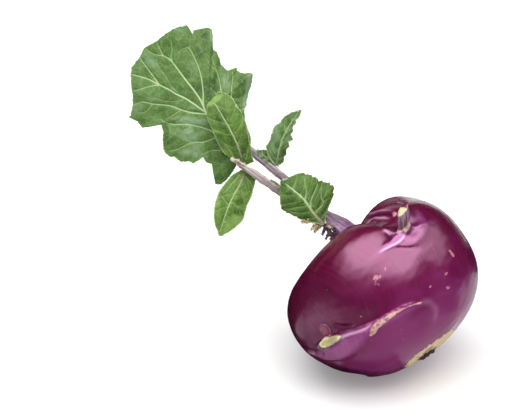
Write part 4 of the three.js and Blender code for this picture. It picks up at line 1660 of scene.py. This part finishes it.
def ragged_lobes(
    name: str, seed: int, *places: tuple[Triple, Triple, float]
) -> tuple[StrapBlade, ...]:
    """Small ragged lobes that are left of a torn leaf.

    Args:
        name: their name, to which each one's number is added.
        seed: what the first one's toothing and marks depend on.
        places: the base, the tip and the greatest half-width of each, in mm.

    Returns:
        The lobes.
    """
    lobes = []
    for i, (base, tip, width) in enumerate(places):
        profile = (0.6, width, width * 0.55, width * 0.95, width * 0.5, 0.25)
        lobes.append(StrapBlade(
            f"{name}_{i + 1}", (), seed=seed + i, columns=34, rows=60, base=base, tip=tip,
            left=profile, right=profile[::-1] if (seed + i) % 2 else profile, teeth=0.35,
            wave=0.4, phase=(seed + i) / 3, stations=7, side_veins=2, midrib=(0.15, 0.06),
            side_vein=(0.08, 0.05), quilting=0.15, thickness=0.4))
    return tuple(lobes)


# The three leaves, from the oldest at the back to the youngest in front.
STALKS: tuple[Stalk, ...] = (
    Stalk("leaf_1_stalk", ("leaf_1_petiole",),
          ((-9.5, 20, -15), (-13, 26.4, -13), (-19.4, 30.8, -11), (-26, 34.2, -9.5),
           (-34.1, 41, -7.5), (-44.6, 50.2, -6), (-56.9, 60.2, -5.2), (-67, 69, -4.2),
           (-75, 75.6, -3), (-82.4, 81.4, -1.9)),
          (3.2, 2.8, 2.3, 2, 1.9, 1.8, 1.7, 1.4, 1.0), 0.25, 260),
    Stalk("leaf_2_stalk", ("leaf_2_petiole",),
          ((-12.5, 17, 1), (-15.6, 23, 0.4), (-20.2, 27.4, 0), (-25.6, 30.9, 0.2),
           (-34.1, 36.2, 0.8), (-48.3, 45, 3.2), (-60.5, 53.6, 5.4), (-71.6, 61, 6.6)),
          (3.4, 2.9, 2.4, 2.1, 1.9, 1.8, 1.8, 1.7, 0.9), 0.3, 220, broken=0.17),
    Stalk("leaf_3_stalk", ("leaf_3_petiole",),
          ((-18.5, 14, -4), (-21.6, 20.6, -1), (-24, 25, 2.4), (-27, 28.8, 5.2), (-29.4, 31.8, 7)),
          (1.8, 1.45, 1.2, 1.1, 0.95), 0.2, 90),
)
BROAD_BLADE = FanBlade(
    "leaf_1_veined_blade", ("leaf_1_blade",),
    veins=(
        Vein(((21.4, -15.2), (3.4, -2.4), (-0.2, 0.5), (-10.4, 7.5), (-14.2, 9.2), (-17.5, 11.3),
              (-22.2, 13.6), (-27.9, 16.5), (-36, 18.7)), 0.72, 0.2),
        Vein(((-22.2, 13.5), (-24.6, 13.5), (-34.6, 10.7)), 0.26, 0.12),
        Vein(((-22.7, 14.2), (-31.7, 26.3)), 0.28, 0.16),
        Vein(((-0.5, 0.9), (-3.3, 7.1), (-10.9, 17.3), (-17.5, 25.7), (-20.8, 27.7)), 0.46, 0.26),
        Vein(((-20.8, 27.7), (-23.7, 33.9)), 0.22, 0.12),
        Vein(((-20.6, 27.6), (-25.5, 28.4), (-29.3, 31.1)), 0.2, 0.1),
        Vein(((-16.5, 25.4), (-17, 27.5), (-16.5, 29.9), (-17, 35.3)), 0.16, 0.08),
        Vein(((-1.4, 2.8), (-1.8, 6.6), (-1.8, 10.4), (-3.3, 19.9), (-8, 30.5), (-9.2, 31.5)),
              0.34, 0.16),
        Vein(((-9.2, 31.5), (-12.5, 30.1), (-13.7, 26.5)), 0.1, 0.05),
        Vein(((-8, 30.5), (-8.2, 36)), 0.1, 0.05),
        Vein(((-18.5, 16.4), (-23.2, 23.2), (-23.7, 26.5)), 0.12, 0.07),
        Vein(((-14.9, 11.2), (-18.2, 15.2)), 0.12, 0.06),
        Vein(((7.2, 7.6), (5.8, 16.1), (1.6, 28.4)), 0.24, 0.1),
        Vein(((4.1, 20.9), (1.9, 22.5), (-0.4, 27)), 0.14, 0.06),
        Vein(((11.4, 8.1), (12.2, 19.9)), 0.2, 0.1),
        Vein(((9.8, 20.6), (10, 17.5), (9.3, 14.2)), 0.1, 0.05),
        Vein(((4.8, 9), (1.5, 12.6)), 0.12, 0.06),
        Vein(((-0.4, -0.1), (-8, 0.8), (-13.7, 2.5), (-16.5, 3.7), (-26, 4.8), (-30.3, 5.7),
              (-34.6, 4.3)), 0.36, 0.14),
        Vein(((-12.3, 1.8), (-19.4, -2.5)), 0.18, 0.08),
        Vein(((-25.5, 4.6), (-29.3, 0.9), (-32.7, 0.5)), 0.14, 0.06),
        Vein(((7.2, -17.1), (3.6, -10.4), (2.7, -8.5), (-8.5, -5), (-16.5, -4.9), (-20.8, -3.4),
              (-21.8, -2.5)), 0.3, 0.16),
        Vein(((-7.1, -5.5), (-10.9, -7.6)), 0.12, 0.06),
        Vein(((3.7, -11.4), (-1.4, -13.3), (-7.1, -13.6), (-14.2, -16.8), (-17.5, -17.5)),
              0.26, 0.1),
        Vein(((-7.3, -13.4), (-10.6, -10.9)), 0.12, 0.05),
        Vein(((6, -17.3), (2.9, -17.3), (-1.8, -18.8)), 0.22, 0.1),
        Vein(((-9.9, 7.3), (-14.6, 6.1), (-19.4, 6.2), (-23.2, 7.1)), 0.1, 0.05),
    ),
    patches=(
        PaintedLightPatch(-108.5, 105.7, 7.1, 2.8, -48, 0.8), PaintedLightPatch(-90.1, 104.3, 4.7, 2.8, -60, 0.55),
        PaintedLightPatch(-115.7, 84.8, 4.3, 3.8, 0, 0.7), PaintedLightPatch(-91, 85.3, 6.2, 1.4, -8, 0.8),
        PaintedLightPatch(-90.1, 78.7, 10.4, 1.9, -5, 1.1), PaintedLightPatch(-92, 72.5, 5.7, 3.8, 0, 0.9),
        PaintedLightPatch(-83.9, 72.5, 4.3, 2.4, -20, 0.6), PaintedLightPatch(-91, 64, 5.7, 3.3, 0, 1),
        PaintedLightPatch(-74.4, 96.2, 2.4, 6.6, 8, 0.8), PaintedLightPatch(-81.5, 86.7, 1.4, 3.3, -40, 0.5),
        PaintedLightPatch(-95.8, 120.4, 4.7, 2.8, 0, 0.6), PaintedLightPatch(-80.7, 119, 1, 4.3, 6, 1.9),
        PaintedLightPatch(-63, 98.1, 1.5, 3.8, -14, 1.9), PaintedLightPatch(-64.8, 89.6, 1.2, 5.7, -10, 1.8),
        PaintedLightPatch(-81.1, 94.3, 3.8, 4.7, 0, -1.1), PaintedLightPatch(-84.4, 118, 1.9, 3.8, 0, -1.1),
        PaintedLightPatch(-78.2, 77.3, 3.3, 3.3, 0, -0.5), PaintedLightPatch(-95.8, 90.3, 6.6, 1, -27, -1.1),
        PaintedLightPatch(-88.2, 93.4, 2.8, 3.3, -40, -0.8), PaintedLightPatch(-101.4, 87.9, 4.3, 1.4, 0, -0.7),
        PaintedLightPatch(-102.4, 71.6, 1.5, 4.3, 0, -1.3), PaintedLightPatch(-108.1, 99.1, 4.3, 1.4, -45, -0.6),
        PaintedLightPatch(-113.8, 78.7, 2.8, 1.9, 0, -0.7), PaintedLightPatch(-96.7, 115.6, 4.7, 2.4, 0, -0.6),
        PaintedLightPatch(-87.2, 110.4, 1.9, 3.8, 20, -0.6), PaintedLightPatch(-66.4, 98.1, 1.6, 4.3, -8, -0.9),
        PaintedLightPatch(-79.2, 52.6, 2.4, 3.8, 0, -0.5), PaintedLightPatch(-110.1, 102.9, 3.2, 2.4, 0, -0.6),
        PaintedLightPatch(-69.8, 46.2, 3.0, 3.4, 0, -0.7),
    ),
    outline=(
        (-35.9, 23.5), (-8.9, 18.3), (3.1, 17.6), (9.1, 18), (13.4, 19.4), (18.2, 19.7),
        (29.1, 22.4), (38.3, 27.5), (43, 29.2), (47.3, 26.6), (50.8, 25.6), (56.5, 25.3),
        (57.7, 26.4), (64.4, 23.1), (68.4, 23.3), (75.6, 25), (81.5, 30.2), (85.1, 31),
        (86.4, 33.5), (86.7, 40.6), (89.9, 41.3), (99.2, 40.3), (100.1, 38.3), (102.6, 43.2),
        (110.4, 43.5), (124.8, 41.9), (133.6, 43.2), (139.6, 41.7), (148.6, 41.9),
        (165.6, 36.2), (173.1, 35.3), (180.8, 36.1), (182.2, 37.2), (186.2, 33.1),
        (192.6, 31.2), (193, 22.3), (202.5, 22.3), (222.2, 27.1), (229.9, 26.8), (232.3, 25.5),
        (240.9, 25.8), (250.4, 23.9), (254.1, 24.5), (264.8, 20.5), (268.9, 23), (275.4, 23.8),
        (276, 26), (276.4, 29.5), (276.7, 33.4), (279.7, 34.1), (283.1, 33.6), (302.9, 27.1),
        (312.8, 25.2),
    ),
    columns=600, rows=60, seed=3,
)
LEAFLETS: tuple[StrapBlade, ...] = (
    StrapBlade(
        "leaf_1_veined_side_leaflet", ("leaf_1_side_leaflet",), seed=5, rows=120,
        base=(-49.9, 57.4, -5.2), tip=(-38.4, 84, -3),
        right=(0.3, 2.1, 2.9, 2.5, 3.4, 2.8, 3.7, 2.9, 4, 2.1, 2.5, 1.2, 1.7, 0.8, 1.3, 0.9, 0.2),
        left=(0.9, 4.8, 6.9, 6.6, 6.1, 6.7, 6.4, 5.1, 4.8, 3.1, 0.6),
        fold=(-0.25, 0.75), bow=-2, arch=2, wave=0.7, waves=2.5, stations=16,
        side_vein=(0.09, 0.05), side_veins=5, paleness=0.35,
        veins=(
            Vein(((-50.2, 57.3), (-47.4, 69.7), (-45.3, 74.4), (-39.3, 83.4)), 0.38, 0.14),
            Vein(((-50.7, 58.3), (-53.1, 62.1), (-53.9, 64.9)), 0.2, 0.1),
            Vein(((-47.6, 69.2), (-50.7, 74.9)), 0.12, 0.05),
            Vein(((-45.7, 73.5), (-46.2, 75.8), (-46, 78.7)), 0.12, 0.05),
            Vein(((-47.9, 66.8), (-44.6, 71.6)), 0.12, 0.06),
            Vein(((-46.5, 72), (-43.1, 75.8)), 0.12, 0.06),
        ),
        patches=(
            PaintedLightPatch(-50.7, 72.5, 1.7, 4.3, -10, 0.9), PaintedLightPatch(-51.7, 65.4, 1.9, 2.8, 0, 0.9),
            PaintedLightPatch(-44.6, 78.2, 1.2, 2.8, -30, -0.8), PaintedLightPatch(-46.9, 74.4, 1.4, 1.9, 0, -0.7),
            PaintedLightPatch(-49.8, 66.8, 1.4, 1.1, 0, -0.9), PaintedLightPatch(-49.3, 60.2, 1.9, 1.4, 0, -0.5),
            PaintedLightPatch(-44.6, 69.7, 1.4, 5.2, -20, 0.6), PaintedLightPatch(-46.2, 64.6, 1.6, 3.4, -14, -0.9),
        )),
    StrapBlade(
        "leaf_1_side_lobe", (), seed=6, columns=30, rows=50,
        base=(-50.2, 58.4, -5.2), tip=(-59.5, 64.8, -3.4),
        right=(2.6, 4.2, 4, 2.4, 0.4), left=(0.6, 1.4, 1.5, 1.1, 0.4),
        fold=(0.2, 0.3), arch=0.8, wave=0.2, teeth=0.03, stations=8, side_veins=3, paleness=-0.4,
        midrib=(0.25, 0.1), side_vein=(0.12, 0.08), quilting=0.15),
    StrapBlade(
        "leaf_2_veined_upper_leaflet", ("leaf_2_upper_leaflet",), seed=7, columns=70, rows=130,
        base=(-64.7, 57.8, 3.2), tip=(-76.3, 91.9, 8),
        right=(4.3, 4.4, 5.1, 6.4, 6.6, 6.5, 6.6, 6, 5, 4, 0.6),
        left=(0.6, 3, 7, 8.4, 9.1, 9.4, 9.7, 10.1, 9.7, 7.6, 1.7),
        fold=(0.1, 0.42), arch=4, roll=3, wave=0.5, waves=2, teeth=0.02, stations=16,
        side_vein=(0.06, 0.03), side_veins=5, young=True, paleness=-0.22,
        veins=(
            Vein(((-66.4, 60.2), (-67.2, 63.5), (-70.4, 71.6), (-78.4, 85.5), (-79.4, 86.7)),
                  0.46, 0.2),
            Vein(((-62.6, 66.8), (-65.2, 79.6), (-67.3, 83.7), (-69.1, 85.5), (-69.7, 87.2),
                  (-72.5, 91.2)), 0.2, 0.26),
            Vein(((-73.5, 61.6), (-79.3, 71.1), (-80.1, 73.9)), 0.22, 0.2),
            Vein(((-70.4, 61.8), (-71.6, 64.2), (-75.8, 69.2)), 0.14, 0.07),
            Vein(((-64.5, 61.1), (-63.3, 65.9)), 0.16, 0.08),
            Vein(((-61.4, 60.7), (-62.3, 65.9)), 0.14, 0.08),
            Vein(((-68.7, 67.3), (-67.3, 70.6), (-66.6, 73.9)), 0.1, 0.05),
        ),
        patches=(
            PaintedLightPatch(-79.6, 88.2, 4.7, 1.9, 35, 1.9), PaintedLightPatch(-74.4, 90.5, 2.8, 0.9, 0, 0.5),
            PaintedLightPatch(-76.8, 80.1, 2.4, 4.7, 20, -1), PaintedLightPatch(-70.6, 82.9, 2.4, 7.6, 15, 0.6),
            PaintedLightPatch(-65.4, 67.8, 1.9, 6.6, 8, -0.6), PaintedLightPatch(-77.3, 73.5, 3.3, 0.9, 0, 0.9),
            PaintedLightPatch(-73.9, 64.9, 2.8, 2.4, 0, 0.5), PaintedLightPatch(-65.9, 76.3, 1.2, 4.3, 10, 0.5),
            PaintedLightPatch(-72.5, 71.1, 1.4, 5.7, 20, -0.5),
        )),
    StrapBlade(
        "leaf_2_veined_lower_leaflet", ("leaf_2_lower_leaflet",), seed=8, columns=66, rows=120,
        base=(-64.9, 54.8, 2.8), tip=(-76.8, 24.3, 6),
        right=(2.2, 5, 6.3, 7.5, 8.1, 8, 7.2, 5.9, 3.8, 0.5),
        left=(5.6, 6.5, 7, 7.2, 6.9, 7.3, 7.5, 6, 3.5, 0.5),
        fold=(0.28, 0.2), arch=2.4, wave=0.3, waves=2, teeth=0.015,
        side_vein=(0.06, 0.03), side_veins=4, young=True, paleness=0.2, edge_mm=0.6,
        veins=(
            Vein(((-65.7, 53.6), (-66.8, 49.8), (-70.6, 42.7), (-73.5, 36), (-76.6, 26.5)),
                  0.4, 0.16),
            Vein(((-67.5, 53.1), (-73.9, 45.3)), 0.18, 0.1),
            Vein(((-64.5, 52.1), (-62.1, 48.6), (-61.6, 46.9)), 0.18, 0.1),
            Vein(((-66.8, 46), (-64.9, 41.7)), 0.1, 0.05),
            Vein(((-72.5, 38.4), (-76.6, 44.1)), 0.1, 0.05),
            Vein(((-71.8, 40.3), (-69.2, 38.4), (-66.8, 37.9)), 0.1, 0.05),
        ),
        patches=(
            PaintedLightPatch(-67.3, 40.8, 1.4, 1.4, 0, -1.4), PaintedLightPatch(-68, 35.5, 2.4, 1.4, -10, -1.4),
            PaintedLightPatch(-62.3, 46.4, 0.9, 2.8, -10, -1.2), PaintedLightPatch(-71.1, 30.3, 4.7, 3.8, 30, 0.9),
            PaintedLightPatch(-77.7, 38.4, 1.4, 5.7, 0, 0.5), PaintedLightPatch(-75.6, 31.7, 0.8, 4.3, -16, -0.7),
            PaintedLightPatch(-71.6, 50.2, 3.8, 1.2, 52, -0.5), PaintedLightPatch(-68.7, 33.2, 2.8, 1.9, 0, 0.5),
        )),
    StrapBlade(
        "leaf_2_tiny_leaflet", (), seed=9, columns=24, rows=40,
        base=(-47.6, 45.6, 3.2), tip=(-53, 50.8, 2.6),
        right=(0.5, 1.2, 1.4, 1.1, 0.4), left=(0.5, 1.5, 1.9, 1.3, 0.4),
        wave=0.1, teeth=0.06, stations=6, side_veins=2, midrib=(0.2, 0.08),
        side_vein=(0.1, 0.06), quilting=0.1, crinkle=0.06),
    StrapBlade(
        "leaf_3_veined_blade", ("leaf_3_blade",), seed=10, columns=84, rows=96,
        base=(-27.7, 29.6, 7.4), tip=(-47.9, 50.2, 8.6),
        right=(0.8, 5.1, 12.3, 16.1, 15.4, 13.4, 12.8, 11.2, 8.4, 0.8),
        left=(0.5, 2.4, 4.4, 6.3, 7.4, 8.6, 9.2, 7.2, 3.9, 0.6),
        fold=(0.16, 0.22), arch=1.6, roll=1.5, teeth=0.035, stations=26,
        side_vein=(0.07, 0.04), side_veins=7, young=True, paleness=-0.5,
        veins=(
            Vein(((-27.5, 29.4), (-32.7, 35.1), (-37.4, 41.7), (-45.5, 48.6)), 0.95, 0.2),
            Vein(((-36.7, 40.8), (-36.2, 46), (-37.1, 51.4)), 0.26, 0.1),
            Vein(((-34, 37.9), (-33.8, 41.2), (-31, 48.3), (-31.5, 51.7)), 0.26, 0.1),
            Vein(((-31.3, 36.1), (-28.4, 38.9), (-28.1, 40.3), (-29, 42.2), (-28.9, 47.9)),
                  0.24, 0.08),
            Vein(((-28.1, 40.3), (-25.1, 42.2)), 0.14, 0.06),
            Vein(((-42.4, 46.5), (-40.9, 50.7)), 0.14, 0.06),
            Vein(((-38.7, 42.7), (-41, 42.3)), 0.14, 0.06),
            Vein(((-35.6, 38.5), (-43.6, 37.4)), 0.1, 0.05),
            Vein(((-27.2, 29.9), (-26.7, 35.1)), 0.2, 0.16),
        ),
        patches=(
            PaintedLightPatch(-40.8, 39.8, 8.5, 4.3, 28, -1.1), PaintedLightPatch(-34.6, 49.8, 7.6, 3.8, -20, 0.45),
            PaintedLightPatch(-28.4, 37, 1.9, 5.2, 0, -1.4), PaintedLightPatch(-37, 33.6, 5.2, 1.4, -22, -0.5),
            PaintedLightPatch(-34.6, 42.7, 1.7, 3.8, 0, 0.5),
        )),
)
TORN_LOBES = ragged_lobes(
    "leaf_3_torn_lobe", 11,
    ((-32.2, 31.7, 7.2), (-38.6, 30.6, 8.6), 1.1),
    ((-29.4, 30.6, 6.6), (-33.9, 27.2, 8.4), 1.3),
    ((-28.9, 29.6, 6), (-32.3, 25.8, 7.6), 0.8),
    ((-26.8, 29.4, 6.6), (-23.9, 28.1, 8), 0.5),
)
WITHERED_LOBES = ragged_lobes(
    "leaf_3_withered_lobe", 21,
    ((-27, 28.4, 5.4), (-28.4, 24.7, 7), 0.7),
    ((-24.7, 26.8, 4), (-26.8, 22.7, 6), 0.7),
    ((-26.1, 28.4, 4.4), (-23, 21.3, 3.4), 1.1),
    ((-23.2, 28.4, 3.6), (-21.8, 24.2, 3), 0.9),
)


# ---- studio ----


class Seen(Enum):
    """Which of a surface's two kinds of reflection shows a lamp."""

    DIFFUSE = "its matt reflection"
    GLOSS = "its gloss"


class Facing(Enum):
    """Where a lamp shines, with the direction that its back looks in."""

    KOHLRABI = None
    DOWN = (0, 0, 1)
    UP = (0, 0, -1)


@dataclass(frozen=True)
class Lamp:
    """A soft box: its place and size in metres, its power in watts, and what shows it."""

    name: str
    at: Triple
    size: Pair
    power: float
    facing: Facing = Facing.KOHLRABI
    seen: Seen = Seen.GLOSS


@dataclass(frozen=True)
class Studio:
    """A pale floor under one big soft box, with weak fill all round, and the camera.

    Matt surfaces and glossy ones are lit by their own lamps. The glossy skin sees the soft box in
    three steps of brightness, and the pale floor round it as patches that shine up.
    """

    camera_at: Triple = (-60.2, 37.2, 1200.0)  # mm, in the leaning frame
    lens: float = 178.7
    sensor: float = 36.0
    clip: Pair = (0.05, 20.0)
    aim_height: float = 0.05
    sky: float = 0.22
    paper: float = 6.0  # metres across
    paper_grain_mm: float = 1.11
    lamps: tuple[Lamp, ...] = (
        Lamp("overhead soft box", (-0.05, -0.25, 1.0), (2.5, 1.4), 9.4, seen=Seen.DIFFUSE),
        Lamp("its brighter middle", (0.02, -0.24, 0.98), (1.3, 1.0), 12.2, seen=Seen.DIFFUSE),
        Lamp("soft box", (-0.3, -0.38, 1.0), (2.4, 1.76), 14.4, Facing.DOWN),
        Lamp("its brighter part", (-0.03, -0.38, 0.999), (1.95, 1.56), 17.4, Facing.DOWN),
        Lamp("its middle", (-0.05, -0.35, 0.998), (1.5, 1.23), 15.6, Facing.DOWN),
        Lamp("soft box on the right", (1.07, 0.33, 1.09), (1.2, 0.96), 7.0),
        Lamp("room behind on the left", (-0.8, 4.5, 0.55), (1.8, 1.6), 4.4),
        Lamp("floor behind", (0.105, 0.52, 0.001), (0.15, 0.6), 0.42, Facing.UP),
        Lamp("floor behind on the left", (-0.13, 0.37, 0.001), (0.1, 0.16), 0.045, Facing.UP),
        Lamp("floor just in front, right", (0.055, -0.02, 0.001), (0.07, 0.06), 0.0055, Facing.UP),
        Lamp("floor just in front, left", (-0.05, -0.055, 0.001), (0.06, 0.05), 0.0045, Facing.UP),
        Lamp("floor in front", (-0.04, -0.128, 0.001), (0.32, 0.16), 0.06, Facing.UP),
        Lamp("floor on the left", (-0.4, -0.3, 0.001), (0.5, 0.5), 0.5, Facing.UP),
        Lamp("floor beside it, left", (-0.125, -0.06, 0.001), (0.12, 0.12), 0.034, Facing.UP),
        Lamp("floor beside it, right", (0.1, 0.045, 0.001), (0.14, 0.09), 0.03, Facing.UP),
    )

    def camera(self) -> Object:
        """The camera, which looks straight at the leaf slope."""
        data = bpy.data.cameras.new("camera")
        data.lens, data.sensor_width = self.lens, self.sensor
        data.clip_start, data.clip_end = self.clip
        camera = in_scene("camera", data)
        camera.location = SLOPE @ Vector(self.camera_at)
        camera.rotation_euler = (math.pi / 2 - LEAN_BACK, 0, 0)
        bpy.context.scene.camera = camera
        return camera

    def light(self, lamp: Lamp) -> None:
        """Hangs a lamp, which neither the camera nor the other kind of reflection sees."""
        data = bpy.data.lights.new(lamp.name, "AREA")
        data.shape, data.size, data.size_y, data.energy = "RECTANGLE", *lamp.size, lamp.power
        light = in_scene(lamp.name, data)
        light.location = lamp.at
        at_kohlrabi = Vector(lamp.at) - Vector((0, 0, self.aim_height))
        away = Vector(lamp.facing.value) if lamp.facing.value else at_kohlrabi
        light.rotation_mode = "QUATERNION"
        light.rotation_quaternion = away.to_track_quat("Z", "Y")
        light.visible_camera = False
        light.visible_diffuse = lamp.seen is Seen.DIFFUSE
        light.visible_glossy = lamp.seen is Seen.GLOSS

    def floor(self) -> Object:
        """The white sweep that everything stands on, which glows as painted light, less near the
        kohlrabi.
        """
        bm = bmesh.new()
        bmesh.ops.create_grid(bm, x_segments=8, y_segments=8, size=self.paper / 2)
        floor = in_scene("floor", as_mesh(bm, "floor"))
        graph = Graph("white paper with painted glow")
        place = graph.add("TexCoord", out="Object")
        grain = graph.add("TexNoise", place, PER_M / self.paper_grain_mm)
        away = graph.add("VectorMath", place, operation="LENGTH")
        floor.data.materials.append(graph.finish(
            Base_Color=graph.add("ValToRGB", grain, stops=((0.3, "#E6E5E4"), (0.7, "#EAEAE9"))),
            Roughness=0.9, Specular_IOR_Level=0.1, Emission_Color="#FFFFFF",
            # painted light and shade: the paper glows weakly within 6 cm of the point under the
            # kohlrabi, which keeps its shadow dark, and more strongly out to 42 cm
            Emission_Strength=graph.add("MapRange", away, 0.06, 0.42, 0.22, 0.6)))
        floor.visible_glossy = False  # keeps the paper's white out of the waxy skin's gloss
        return floor

    def build(self) -> None:
        """Sets up the whole studio."""
        world = bpy.data.worlds.new("studio")
        world.use_nodes = True
        sky = world.node_tree.nodes["Background"]
        sky.inputs["Color"].default_value = linear("#FFFFFF")
        sky.inputs["Strength"].default_value = self.sky
        bpy.context.scene.world = world
        world.cycles_visibility.glossy = False  # the room round the floor is dark in reflections
        bpy.context.scene.view_settings.view_transform = "Standard"
        self.camera()
        for lamp in self.lamps:
            self.light(lamp)
        self.floor()


def main() -> None:
    """Builds the kohlrabi and its studio, and reports each piece."""
    logging.basicConfig(level=logging.INFO, format="%(message)s")
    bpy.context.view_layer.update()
    form = StemForm()
    upper = LeafFace("upper face of an old leaf", "#2D4C0D", "#486928", "#708B64", "#A9C08E",
                     vein_spread=0.6).make()
    young = LeafFace("upper face of a young leaf", "#28450A", "#48681E", "#76964C", "#A4BC82",
                     vein_spread=0.6, net_share=0.12).make()
    under = LeafFace("under face of a leaf", "#63785A", "#7A8F6E", "#93A28C", "#B4BEA2",
                     vein_spread=1.3, net_share=0.3).make()
    dried = LeafFace("dried torn leaf edge", "#3A2A20", "#93845F", "#B9AE86", "#C2B790",
                     mottle_mm=1.6, bloom_share=0.5).make()
    withered = LeafFace("withered dark leaf edge", "#1E1118", "#39232F", "#5C4450", "#6A5460",
                        mottle_mm=1.6).make()
    rind = StalkSkin().make()
    dull_rind = StalkSkin("withered leaf stalk rind", "#4A2A48", "#221420", "#3E2A38", "#6A625A",
                          "#84727C").make()
    pieces = [SwollenStem(form).build(WaxySkin().make())]
    pieces += [stalk.build(form, skin) for stalk, skin in zip(STALKS, (rind, rind, dull_rind))]
    pieces += [blade.build(young if blade.young else upper, under)
               for blade in (BROAD_BLADE, *LEAFLETS)]
    pieces += [lobe.build(dried, dried) for lobe in TORN_LOBES]
    pieces += [lobe.build(withered, withered) for lobe in WITHERED_LOBES]
    pieces.append(HeartBud(form).build(upper))
    for piece in pieces:
        log.info("%s: %d faces", piece.name, len(piece.data.polygons))
    Studio().build()
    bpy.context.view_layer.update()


if __name__ == "__main__":
    main()
